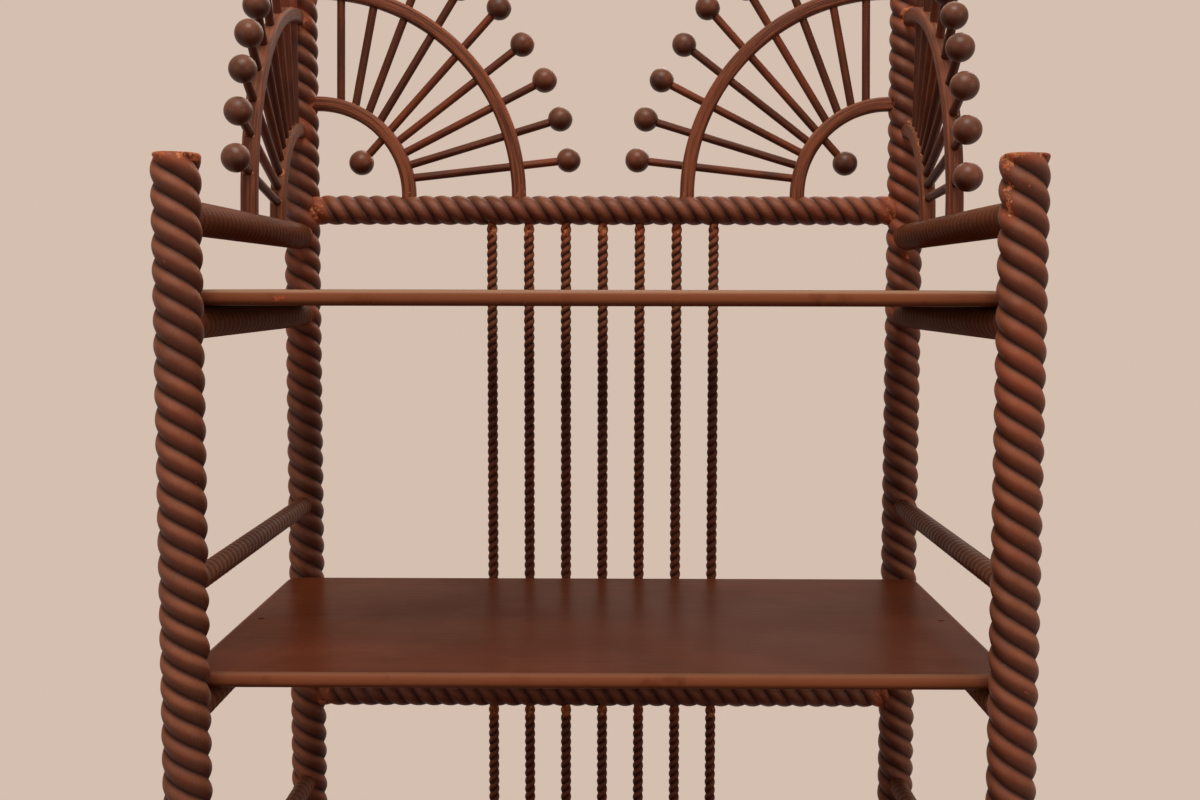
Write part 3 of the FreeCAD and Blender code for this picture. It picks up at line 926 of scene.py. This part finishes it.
def placed(graph, name, build, inputs):
    """Outputs of a shared group, placed in a material with its own values."""
    return graph.node("ShaderNodeGroup", inputs, node_tree=tree_named(name, build)).outputs


def long_grain(graph, place, fineness, stretch, seed):
    grain = placed(graph, "Long Grain", grain_group,
                   {"Place": place, "Fineness": fineness, "Stretch": stretch, "Seed": seed})
    return grain["Streak"], grain["Pore"]


def chips(graph, place, exposure, amount, scale):
    return placed(graph, "Chipped Stain", chip_group,
                  {"Place": place, "Exposure": exposure, "Amount": amount,
                   "Scale": scale})["Mask"]


def aged(graph, place, shade, woods, dust, shade_below, specks):
    """Shade with painted shade below, in the groove colour, and dust above."""
    age = placed(graph, "Dust and Dirt", dust_group,
                 {"Place": place, "Dust": dust, "Dirt": shade_below, "Specks": specks})
    shade = graph.stain(shade, woods.groove, age["Dirt"])
    return graph.stain(shade, woods.dust, age["Dust"])


# ---- materials ----------------------------------------------------------------------------

def attribute(graph, name, output="Fac"):
    return graph.node("ShaderNodeAttribute", attribute_name=name).outputs[output]


def object_place(graph):
    return graph.node("ShaderNodeTexCoord").outputs["Object"]


def axis_place(graph, place, axis):
    """Object coordinates with the given axis last, for grain along it."""
    parts = graph.parts(place)
    order = [other for other in range(3) if other != axis] + [axis]
    return graph.join(*[parts[part] for part in order])


def bar_place(graph):
    """Coordinates that follow a bar: across its section, with its own start, and along it."""
    x, y, _ = graph.parts(attribute(graph, "section", "Vector"))
    return graph.join(graph.plus(x, attribute(graph, "tone")), y, attribute(graph, "along"))


def new_material(name, specular=0.5):
    material = bpy.data.materials.new(name)
    material.use_nodes = True
    material.node_tree.nodes.clear()
    graph = Graph(material.node_tree)
    shader = graph.node("ShaderNodeBsdfPrincipled", {"Specular IOR Level": specular})
    graph.node("ShaderNodeOutputMaterial", {"Surface": shader.outputs[0]})
    return material, graph, shader


def varnish(graph, shader, shade, rough, height, strength, depth):
    """Colour, gloss and fine relief of a finished surface."""
    graph.feed(shader.inputs["Base Color"], shade)
    graph.feed(shader.inputs["Roughness"], rough)
    relief = graph.run("ShaderNodeBump",
                       {"Height": height, "Strength": strength, "Distance": depth})
    graph.feed(shader.inputs["Normal"], relief)


def rope_material(name, axis, ridge_shade, flank_shade, woods, chipped, warmth, open_groove,
                  worn_end=11 * MM, specular=0.22, dust=0.22, shade_below=0.45, scuffs=0.30,
                  upper=0.0, end_dust=0.0):
    """Stained and varnished rope-twist wood, rubbed on the ridges, chipped at joints, with
    painted shade in the grooves and below and a painted highlight on the upper sides.
    """
    material, graph, shader = new_material(name, specular)
    place = object_place(graph)
    ridge = attribute(graph, "ridge")
    up = facing_up(graph)
    cloud = graph.noise(place, 17.0, 4.0, 0.6)
    streak, pore = long_grain(graph, axis_place(graph, place, axis), 640.0, 14.0, 1.0)
    tool, _ = long_grain(graph, bar_place(graph), 900.0, 30.0, 3.0)

    # Painted shade in the grooves: the groove colour, partly stain gathered there, reaches up
    # the flanks as far as open_groove.
    shade = graph.stain(woods.groove, flank_shade, graph.between(ridge, -0.05, open_groove))
    # Painted highlight: the ridge colour on each strand's upper side, as if lit from above,
    # weighted by upper; the rest is ridges rubbed by hands.
    painted_top_light = graph.times(graph.between(ridge, 0.15, 0.68), graph.between(up, -0.12, 0.34))
    rubbed = graph.blend(upper, graph.between(ridge, 0.50, 1.0), painted_top_light)
    rubbed = graph.times(rubbed, graph.between(cloud, 0.2, 0.65))
    shade = graph.stain(shade, ridge_shade, rubbed)
    shade = graph.stain(shade, woods.groove, streak, 0.22)
    shade = graph.stain(shade, woods.groove, pore, 0.35)
    warm = graph.times(graph.patches(place, 6.5, 3.0, 0.55, 0.45, 0.72),
                       graph.between(ridge, 0.1, 0.8))
    shade = graph.stain(shade, woods.warm, warm, warmth)

    # Scuffs of the cutter beside the grooves, then painted shade on what faces down, and dust.
    cut = graph.minus(graph.between(ridge, 0.05, 0.14), graph.between(ridge, 0.18, 0.34))
    cut = graph.times(cut, graph.patches(place, 70.0, 3.0, 0.6, 0.52, 0.66))
    shade = graph.stain(shade, woods.dust, cut, scuffs)
    shade = aged(graph, place, shade, woods, dust, shade_below, 0.40)
    shade = graph.stain(shade, woods.dust, graph.between(up, 0.86, 0.98), end_dust)

    # Thin stain near the joints, and chips down to the orange or bare wood.
    near_end = graph.between(attribute(graph, "near_end"), worn_end,
                             worn_end - WORN_END_FADE)
    joint = graph.larger(attribute(graph, "joint"), near_end)
    glow = graph.times(joint, graph.between(cloud, 0.35, 0.6))
    shade = graph.stain(shade, woods.warm, glow, 0.60)
    chip = chips(graph, place, graph.between(ridge, 0.25, 0.95), chipped, 210.0)
    shade = graph.stain(shade, woods.orange, chip)
    split = chips(graph, place, joint, 0.84, 330.0)
    inside = graph.stain(woods.orange, woods.bare,
                         graph.patches(place, 240.0, 2.0, 0.5, 0.42, 0.60))
    shade = graph.stain(shade, inside, split)

    open_wood = graph.larger(chip, split)
    rough = graph.blend(graph.between(cloud, 0.3, 0.7), 0.32, 0.46)
    rough = graph.blend(graph.larger(open_wood, graph.minus(1.0, ridge)), rough, 0.75)
    height = graph.plus(graph.times(streak, 0.35), graph.times(tool, 0.35))
    height = graph.minus(height, graph.times(open_wood, 1.4))
    varnish(graph, shader, shade, rough, height, 0.45, 0.6 * MM)
    return material


def bow_material(woods):
    """Bent wood with long bright and dark grain, splintered at its spoke holes."""
    material, graph, shader = new_material("stained_bent_wood", 0.18)
    place = object_place(graph)
    streak, pore = long_grain(graph, bar_place(graph), 420.0, 40.0, 4.0)
    shade = graph.stain(woods.bow_dark, woods.bow_light, graph.between(streak, 0.18, 0.84))
    cloud = graph.patches(place, 13.0, 3.0, 0.6, 0.35, 0.7)
    shade = graph.stain(shade, woods.flank, cloud, 0.22)
    shade = graph.stain(shade, woods.groove, pore, 0.62)
    shade = aged(graph, place, shade, woods, 0.26, 0.45, 0.30)
    shade = graph.stain(shade, woods.orange, chips(graph, place, 1.0, 0.28, 170.0))
    near_end = graph.between(attribute(graph, "near_end"), 20 * MM, 9 * MM)
    joint = graph.larger(attribute(graph, "joint"), graph.times(near_end, 0.62))
    split = chips(graph, bar_place(graph), joint, 0.92, 420.0)
    shade = graph.stain(shade, woods.bare, split)
    height = graph.minus(streak, graph.times(split, 1.5))
    varnish(graph, shader, shade, graph.blend(streak, 0.46, 0.64), height, 0.55, 0.7 * MM)
    return material


def spoke_material(woods):
    """Dark dowels with warm long grain."""
    material, graph, shader = new_material("stained_dowel", 0.16)
    place = object_place(graph)
    streak, pore = long_grain(graph, bar_place(graph), 620.0, 30.0, 7.0)
    patch = graph.times(graph.patches(place, 15.0, 3.0, 0.55, 0.38, 0.62),
                        graph.between(attribute(graph, "tone"), 0.1, 0.8))
    warm = graph.blend(0.40, patch, graph.between(streak, 0.30, 0.95))
    shade = graph.stain(woods.spoke_dark, woods.spoke_light, warm)
    shade = graph.stain(shade, woods.groove, pore, 0.5)
    shade = aged(graph, place, shade, woods, 0.16, 0.45, 0.25)
    varnish(graph, shader, shade, graph.blend(streak, 0.42, 0.58), streak, 0.35, 0.5 * MM)
    return material


def ball_material(woods):
    """Turned balls: faint rings about the spoke's axis, dusty above and with painted shade
    below.
    """
    material, graph, shader = new_material("stained_turned_ball", 0.26)
    place = object_place(graph)
    x, y, z = graph.parts(attribute(graph, "section", "Vector"))
    across = graph.size(graph.join(x, y, 0.0))
    cloud = graph.noise(place, 60.0, 4.0, 0.6)
    shade = graph.stain(woods.ball, woods.ball_dark, graph.between(cloud, 0.35, 0.7))
    pore = graph.patches(place, 480.0, 2.0, 0.5, 0.64, 0.74)
    shade = graph.stain(shade, woods.groove, pore, 0.5)
    rim = graph.minus(graph.between(across, 2.6 * MM, 3.1 * MM),
                      graph.between(across, 3.1 * MM, 3.7 * MM))
    rim = graph.times(rim, graph.between(z, 4 * MM, 9 * MM))
    shade = graph.stain(shade, woods.groove, rim, 0.22)
    shade = graph.stain(shade, woods.warm, graph.patches(place, 22.0, 2.0, 0.5, 0.48, 0.68),
                        0.30)
    shade = aged(graph, place, shade, woods, 0.30, 0.72, 0.30)
    turning = graph.math("SINE", graph.times(z, 5200.0))
    height = graph.plus(cloud, graph.times(turning, 0.08))
    height = graph.minus(height, graph.times(rim, 0.25))
    varnish(graph, shader, shade, graph.blend(cloud, 0.34, 0.46), height, 0.30, 0.6 * MM)
    return material


def shelf_material(woods):
    """Stained board: faint long grain, clouds, scratches, a rubbed edge, a front painted darker
    and a painted highlight on the edge's rounding.
    """
    material, graph, shader = new_material("stained_board", 0.008)
    place = object_place(graph)
    _, depth, level = graph.parts(place)
    streak, pore = long_grain(graph, axis_place(graph, place, 0), 210.0, 30.0, 2.0)
    cloud = graph.noise(place, 7.0, 4.0, 0.6)
    smear = graph.noise(graph.stretched(place, (1.3, 20.0, 10.0)), 1.0, 3.0, 0.55)
    clouds = graph.between(graph.blend(0.5, cloud, smear), 0.36, 0.64)
    # Painted shade: the front of each board is darker, against the main light that falls most
    # on the front; random clouds darken it too.
    darker = graph.blend(0.28, graph.between(depth, 0.14, -0.17), clouds)
    shade = graph.stain(woods.shelf, woods.shelf_dark, darker)
    shade = graph.stain(shade, woods.shelf_dark, streak, 0.30)
    shade = graph.stain(shade, woods.groove, pore, 0.30)
    shade = graph.stain(shade, woods.warm, graph.patches(place, 5.0, 2.0, 0.5, 0.45, 0.70),
                        0.16)

    scratch = graph.patches(graph.stretched(place, (38.0, 1100.0, 60.0)),
                            1.0, 2.0, 0.5, 0.715, 0.745)
    scratch = graph.times(scratch, graph.between(cloud, 0.45, 0.6))
    shade = graph.stain(shade, woods.dust, scratch, 0.42)
    edge = attribute(graph, "edge")
    rubbed = graph.times(edge, graph.patches(place, 30.0, 4.0, 0.6, 0.15, 0.45))
    shade = graph.stain(shade, woods.shelf_edge, rubbed)
    shade = graph.stain(shade, woods.orange, chips(graph, place, edge, 0.36, 130.0))

    # Painted highlight: a pale line where the rounding turns up, stronger on the top shelf.
    painted_edge_highlight = graph.times(graph.between(facing_up(graph), 0.35, 0.75),
                        graph.between(edge, 0.02, 0.15))
    painted_edge_highlight = graph.times(painted_edge_highlight, graph.between(smear, 0.10, 0.45))
    painted_edge_highlight = graph.times(painted_edge_highlight, graph.blend(graph.between(level, 0.80, 0.95), 0.24, 0.86))
    shade = graph.stain(shade, woods.dust, painted_edge_highlight)
    shade = aged(graph, place, shade, woods, 0.05, 0.62, 0.40)
    rough = graph.blend(graph.between(cloud, 0.3, 0.7), 0.28, 0.38)
    varnish(graph, shader, shade, rough, graph.minus(streak, scratch), 0.14, 0.6 * MM)
    return material


def iron_material():
    """Dark oxidised nails."""
    material, graph, shader = new_material("old_iron")
    patch = graph.noise(object_place(graph), 900.0, 3.0, 0.6)
    graph.feed(shader.inputs["Base Color"], graph.mix(patch, IRON, RUST))
    graph.feed(shader.inputs["Roughness"], graph.blend(patch, 0.5, 0.8))
    graph.feed(shader.inputs["Metallic"], 0.6)
    return material


# ---- operators ----------------------------------------------------------------------------

class ETAGERE_OT_posts(bpy.types.Operator):
    """Turns the four rope-twist posts"""
    bl_idname = "etagere.posts"
    bl_label = "Rope-twist posts"

    def execute(self, context):
        ropes = context.scene.etagere_ropes
        woods = context.scene.etagere_woods
        material = rope_material("stained_post_wood", 2, woods.ridge, woods.flank, woods,
                                 chipped=0.34, warmth=0.52, open_groove=0.62,
                                 specular=0.24, dust=0.12, shade_below=0.80, scuffs=0.12,
                                 upper=0.85, end_dust=0.50)
        names = [place + "_post_" + side for place in ("front", "back") for side in SIDES]
        for order, name in enumerate(names):
            start, end, radius = bar_along(name, 2)
            mesh = rope_bars("turned_" + name, [(start, end)], ropes.post_strands, radius,
                             ropes.post_groove, -ropes.post_turn, (1, 0, 0), material,
                             ropes.worn, rounding=ropes.end_round, seed=3.0 + order)
            mark_worn(mesh, post_joints(name, context.scene), JOINT_FADE)
            settle("turned_" + name, mesh, "post_wood", name)
        return {"FINISHED"}


class ETAGERE_OT_back_rails(bpy.types.Operator):
    """Turns the three rope-twist rails of the back"""
    bl_idname = "etagere.back_rails"
    bl_label = "Back rails"

    def execute(self, context):
        ropes = context.scene.etagere_ropes
        woods = context.scene.etagere_woods
        material = rope_material("stained_back_rail_wood", 0, woods.ridge, woods.flank, woods,
                                 chipped=0.28, warmth=0.28, open_groove=0.55,
                                 worn_end=19 * MM)
        for order, row in enumerate(BACK_RAILS):
            name = "back_rail_" + row
            start, end, radius = bar_along(name, 0)
            start.x = middle("back_post_left").x + SHOULDER
            end.x = middle("back_post_right").x - SHOULDER
            mesh = rope_bars("turned_" + name, [(start, end)], ropes.rail_strands, radius,
                             ropes.rail_groove, ropes.rail_turn, (0, 0, 1), material,
                             ropes.worn, rounding=RAIL_END_ROUND, seed=11.0 + order,
                             steps=28)
            settle("turned_" + name, mesh, "back_rail_wood", name)
        return {"FINISHED"}


class ETAGERE_OT_spindles(bpy.types.Operator):
    """Turns the two rows of thin twisted spindles"""
    bl_idname = "etagere.spindles"
    bl_label = "Spindles"

    def execute(self, context):
        ropes = context.scene.etagere_ropes
        woods = context.scene.etagere_woods
        material = rope_material("stained_spindle_wood", 2, woods.ridge, woods.flank, woods,
                                 chipped=0.16, warmth=0.30, open_groove=0.55,
                                 worn_end=24 * MM, specular=0.16, dust=0.08, shade_below=0.66,
                                 upper=0.4)
        for bay in ("upper", "lower"):
            nodes = ["%s_spindle_%d" % (bay, order) for order in SPINDLES]
            bars = [bar_along(node, 2) for node in nodes]
            name = "twisted_%s_spindles" % bay
            mesh = rope_bars(name, [bar[:2] for bar in bars], ropes.spindle_strands,
                             bars[0][2], ropes.spindle_neck, ropes.spindle_turn, (1, 0, 0),
                             material, ropes.worn * ropes.thin_worn, points=10, steps=15)
            settle(name, mesh, "spindle_wood", *nodes)
        return {"FINISHED"}


class ETAGERE_OT_side_rails(bpy.types.Operator):
    """Turns the bearers and gallery rails of both sides"""
    bl_idname = "etagere.side_rails"
    bl_label = "Side rails"

    def execute(self, context):
        ropes = context.scene.etagere_ropes
        woods = context.scene.etagere_woods
        material = rope_material("stained_side_rail_wood", 1, woods.rail_ridge,
                                 woods.rail_flank, woods, chipped=0.12, warmth=0.10,
                                 open_groove=0.04, specular=0.04, dust=0.06, shade_below=0.30,
                                 scuffs=0.0)
        for tier in TIERS:
            for kind in SIDE_RAILS:
                strands, depth = ropes.rail_strands, ropes.side_groove
                turn = ropes.bearer_turn if kind == "bearer_rail" else ropes.gallery_turn
                if kind == "gallery_rail" and tier != TOP_TIER:
                    strands, depth = ropes.thin_strands, ropes.thin_groove
                    turn = -ropes.thin_turn
                for side in SIDES:
                    name = "%s_%d_%s" % (kind, tier, side)
                    start, end, radius = bar_along(name, 1, TENON)
                    mesh = rope_bars("turned_" + name, [(start, end)], strands, radius,
                                     radius - depth, turn, (0, 0, 1), material,
                                     ropes.worn * ropes.thin_worn, seed=20.0 + tier,
                                     steps=24)
                    settle("turned_" + name, mesh, "side_rail_wood", name)
        return {"FINISHED"}


class ETAGERE_OT_shelves(bpy.types.Operator):
    """Cuts the boards with rounded corners and rubbed edges"""
    bl_idname = "etagere.shelves"
    bl_label = "Shelves"

    def execute(self, context):
        material = shelf_material(context.scene.etagere_woods)
        for tier in TIERS:
            name = "shelf_%d" % tier
            mesh = board_mesh("board_" + name, *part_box(name), nail_places())
            mesh.materials.append(material)
            settle("board_" + name, mesh, "shelf_board", name)
        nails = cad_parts["shelf_nails"]
        iron = iron_material()
        for slot_place in nails.material_slots:
            slot_place.link = "OBJECT"
            slot_place.material = iron
        return {"FINISHED"}


class ETAGERE_OT_bows(bpy.types.Operator):
    """Bends the bows of the fans"""
    bl_idname = "etagere.bows"
    bl_label = "Bows"

    def execute(self, context):
        sizes = context.scene.etagere_fans
        material = bow_material(context.scene.etagere_woods)
        seed = 30.0
        for title in FANS:
            fan = Fan(title, context.scene)
            for place, radius in (("outer", fan.outer), ("inner", fan.inner)):
                name = "%s_%s_bow" % (title, place)
                seed += 1
                mesh = rounded_bars("bent_" + name, [fan.bow_path(radius)], fan.width,
                                    sizes.bow_corner, tuple(fan.normal), material,
                                    sizes.bow_worn, seed)
                mark_worn(mesh, fan.holes(radius), HOLE_FADE)
                settle("bent_" + name, mesh, "bow_wood", name)
        return {"FINISHED"}


class ETAGERE_OT_spokes(bpy.types.Operator):
    """Sets the dowels of the fans"""
    bl_idname = "etagere.spokes"
    bl_label = "Spokes"

    def execute(self, context):
        sizes = context.scene.etagere_fans
        material = spoke_material(context.scene.etagere_woods)
        for order, title in enumerate(FANS):
            fan = Fan(title, context.scene)
            name = title + "_spokes"
            mesh = rounded_bars("dowels_" + name, fan.spoke_paths(), sizes.spoke,
                                sizes.spoke / 2, tuple(fan.normal), material,
                                sizes.spoke_worn, 40.0 + order)
            settle("dowels_" + name, mesh, "spoke_wood", name)
        return {"FINISHED"}


class ETAGERE_OT_balls(bpy.types.Operator):
    """Sets the turned balls on the spokes"""
    bl_idname = "etagere.balls"
    bl_label = "Balls"

    def execute(self, context):
        sizes = context.scene.etagere_fans
        material = ball_material(context.scene.etagere_woods)
        for order, title in enumerate(FANS):
            name = title + "_balls"
            places = Fan(title, context.scene).balls()
            source = bpy.data.meshes.new(name)
            source.from_pydata([tuple(place) for place, _ in places], [], [])
            axis = source.attributes.new("axis", "FLOAT_VECTOR", "POINT")
            for point, (_, way) in zip(axis.data, places):
                point.vector = way
            mesh = grown("turned_" + name, source, tree_named("Turned Balls", turned_ball_tree),
                         {"Radius": sizes.ball / 2, "Pole": BALL_POLE, "Uneven": BALL_UNEVEN,
                          "Wear Depth": sizes.bow_worn, "Seed": 50.0 + order,
                          "Material": material})
            settle("turned_" + name, mesh, "ball_wood", name)
        return {"FINISHED"}


class ETAGERE_OT_stage(bpy.types.Operator):
    """Lays the floor and sets the lights and the camera"""
    bl_idname = "etagere.stage"
    bl_label = "Stage"

    def execute(self, context):
        settings = context.scene.etagere_stage
        lay_floor(settings)
        light_world(settings)
        add_lights(settings)
        place_camera(settings)
        context.scene.view_settings.view_transform = "Standard"
        return {"FINISHED"}


# ---- stage --------------------------------------------------------------------------------

def is_seen(graph):
    """1 for rays from the camera, and for mirrored and refracted views."""
    path = graph.node("ShaderNodeLightPath")
    mirrored = graph.larger(path.outputs["Is Glossy Ray"], path.outputs["Is Transmission Ray"])
    return graph.larger(path.outputs["Is Camera Ray"], mirrored)


def lay_floor(settings):
    """Pale floor that fades into the background away from the etagere."""
    ground = bmesh.new()
    bmesh.ops.create_circle(ground, cap_ends=True, segments=FLOOR_SIDES, radius=FLOOR_RADIUS)
    mesh = bpy.data.meshes.new("floor")
    ground.to_mesh(mesh)
    ground.free()
    material, graph, shader = new_material("pale_floor")
    graph.feed(shader.inputs["Base Color"], linear(settings.paper))
    graph.feed(shader.inputs["Roughness"], 0.9)
    away = graph.size(object_place(graph))
    fade = graph.larger(graph.between(away, 0.9, 1.6), 0.4)
    fade = graph.times(fade, is_seen(graph))
    paper = graph.run("ShaderNodeEmission", {"Color": linear(settings.paper), "Strength": 1.0})
    both = graph.run("ShaderNodeMixShader", {0: fade, 1: shader.outputs[0], 2: paper})
    output = next(node for node in graph.tree.nodes if node.type == "OUTPUT_MATERIAL")
    graph.feed(output.inputs["Surface"], both)
    mesh.materials.append(material)
    floor = link("floor", mesh)


def light_world(settings):
    """Even light all round, seen as the pale background."""
    world = bpy.data.worlds.new("paper")
    world.use_nodes = True
    world.node_tree.nodes.clear()
    graph = Graph(world.node_tree)
    light = graph.run("ShaderNodeBackground", {"Color": SKY, "Strength": settings.world})
    paper = graph.run("ShaderNodeBackground", {"Color": linear(settings.paper),
                                               "Strength": 1.0})
    both = graph.run("ShaderNodeMixShader", {0: is_seen(graph), 1: light, 2: paper})
    graph.node("ShaderNodeOutputWorld", {"Surface": both})
    bpy.context.scene.world = world


def add_lights(settings):
    """Large soft lights: main from high in front, one each side and one behind."""
    left_fill = settings.fill * LEFT_FILL_SHARE
    lights = (("key", (-0.05, -1.10, 2.90), (0.0, 0.0, 0.85), 1.0, settings.key),
              ("fill_left", (-1.7, -1.7, 1.4), (0.0, 0.0, 0.8), 1.2, left_fill),
              ("fill_right", (1.8, -1.5, 1.4), (0.0, 0.0, 0.8), 1.2, settings.fill),
              ("rim", (0.6, 1.9, 2.4), (0.0, 0.0, 0.9), 1.6, settings.rim))
    for name, place, target, size, power in lights:
        lamp = bpy.data.lights.new(name, "AREA")
        lamp.size = size
        lamp.energy = power
        lamp.color = LAMP_COLOUR
        lamp_object = link(name, lamp)
        lamp_object.location = place
        aim = Vector(target) - Vector(place)
        lamp_object.rotation_mode = "QUATERNION"
        lamp_object.rotation_quaternion = aim.to_track_quat("-Z", "Y")


def place_camera(settings):
    """Camera nearly level and square to the front."""
    forward = Vector((-math.sin(settings.turn) * math.cos(settings.tip),
                      math.cos(settings.turn) * math.cos(settings.tip),
                      -math.sin(settings.tip)))
    level = Vector((math.cos(settings.turn), math.sin(settings.turn), 0.0))
    rise = level.cross(forward)
    right = level * math.cos(settings.roll) + rise * math.sin(settings.roll)
    up = rise * math.cos(settings.roll) - level * math.sin(settings.roll)
    camera = bpy.data.cameras.new("camera")
    camera.sensor_width = SENSOR_WIDTH
    camera.lens = settings.lens
    camera.clip_start = 0.05
    camera.clip_end = 50.0
    camera_object = link("camera", camera)
    turn = Matrix((right, up, -forward)).transposed().to_4x4()
    camera_object.matrix_world = Matrix.Translation(settings.camera_at) @ turn
    bpy.context.scene.camera = camera_object


# ---- panel and registration ---------------------------------------------------------------

class ETAGERE_PT_panel(bpy.types.Panel):
    """Lists the pieces and the stage"""
    bl_idname = "ETAGERE_PT_panel"
    bl_label = "Etagere"
    bl_space_type = "VIEW_3D"
    bl_region_type = "UI"
    bl_category = "Etagere"

    def draw(self, context):
        for operator in OPERATORS:
            self.layout.operator(operator.bl_idname)


OPERATORS = (ETAGERE_OT_stage, ETAGERE_OT_posts, ETAGERE_OT_back_rails, ETAGERE_OT_spindles,
             ETAGERE_OT_side_rails, ETAGERE_OT_shelves, ETAGERE_OT_bows, ETAGERE_OT_spokes,
             ETAGERE_OT_balls)
GROUPS = {"etagere_ropes": RopeSizes, "etagere_fans": FanSizes,
          "etagere_back_spokes": BackSpokes, "etagere_left_spokes": LeftSpokes,
          "etagere_right_spokes": RightSpokes, "etagere_woods": WoodColours,
          "etagere_stage": StageSettings}


def register():
    for name, group in GROUPS.items():
        bpy.utils.register_class(group)
        setattr(bpy.types.Scene, name, PointerProperty(type=group))
    for operator in OPERATORS:
        bpy.utils.register_class(operator)
    bpy.utils.register_class(ETAGERE_PT_panel)


def unregister():
    bpy.utils.unregister_class(ETAGERE_PT_panel)
    for operator in reversed(OPERATORS):
        bpy.utils.unregister_class(operator)
    for name, group in reversed(GROUPS.items()):
        delattr(bpy.types.Scene, name)
        bpy.utils.unregister_class(group)


def main():
    register()
    for operator in OPERATORS:
        family, action = operator.bl_idname.split(".")
        getattr(getattr(bpy.ops, family), action)()


if __name__ == "__main__":
    main()
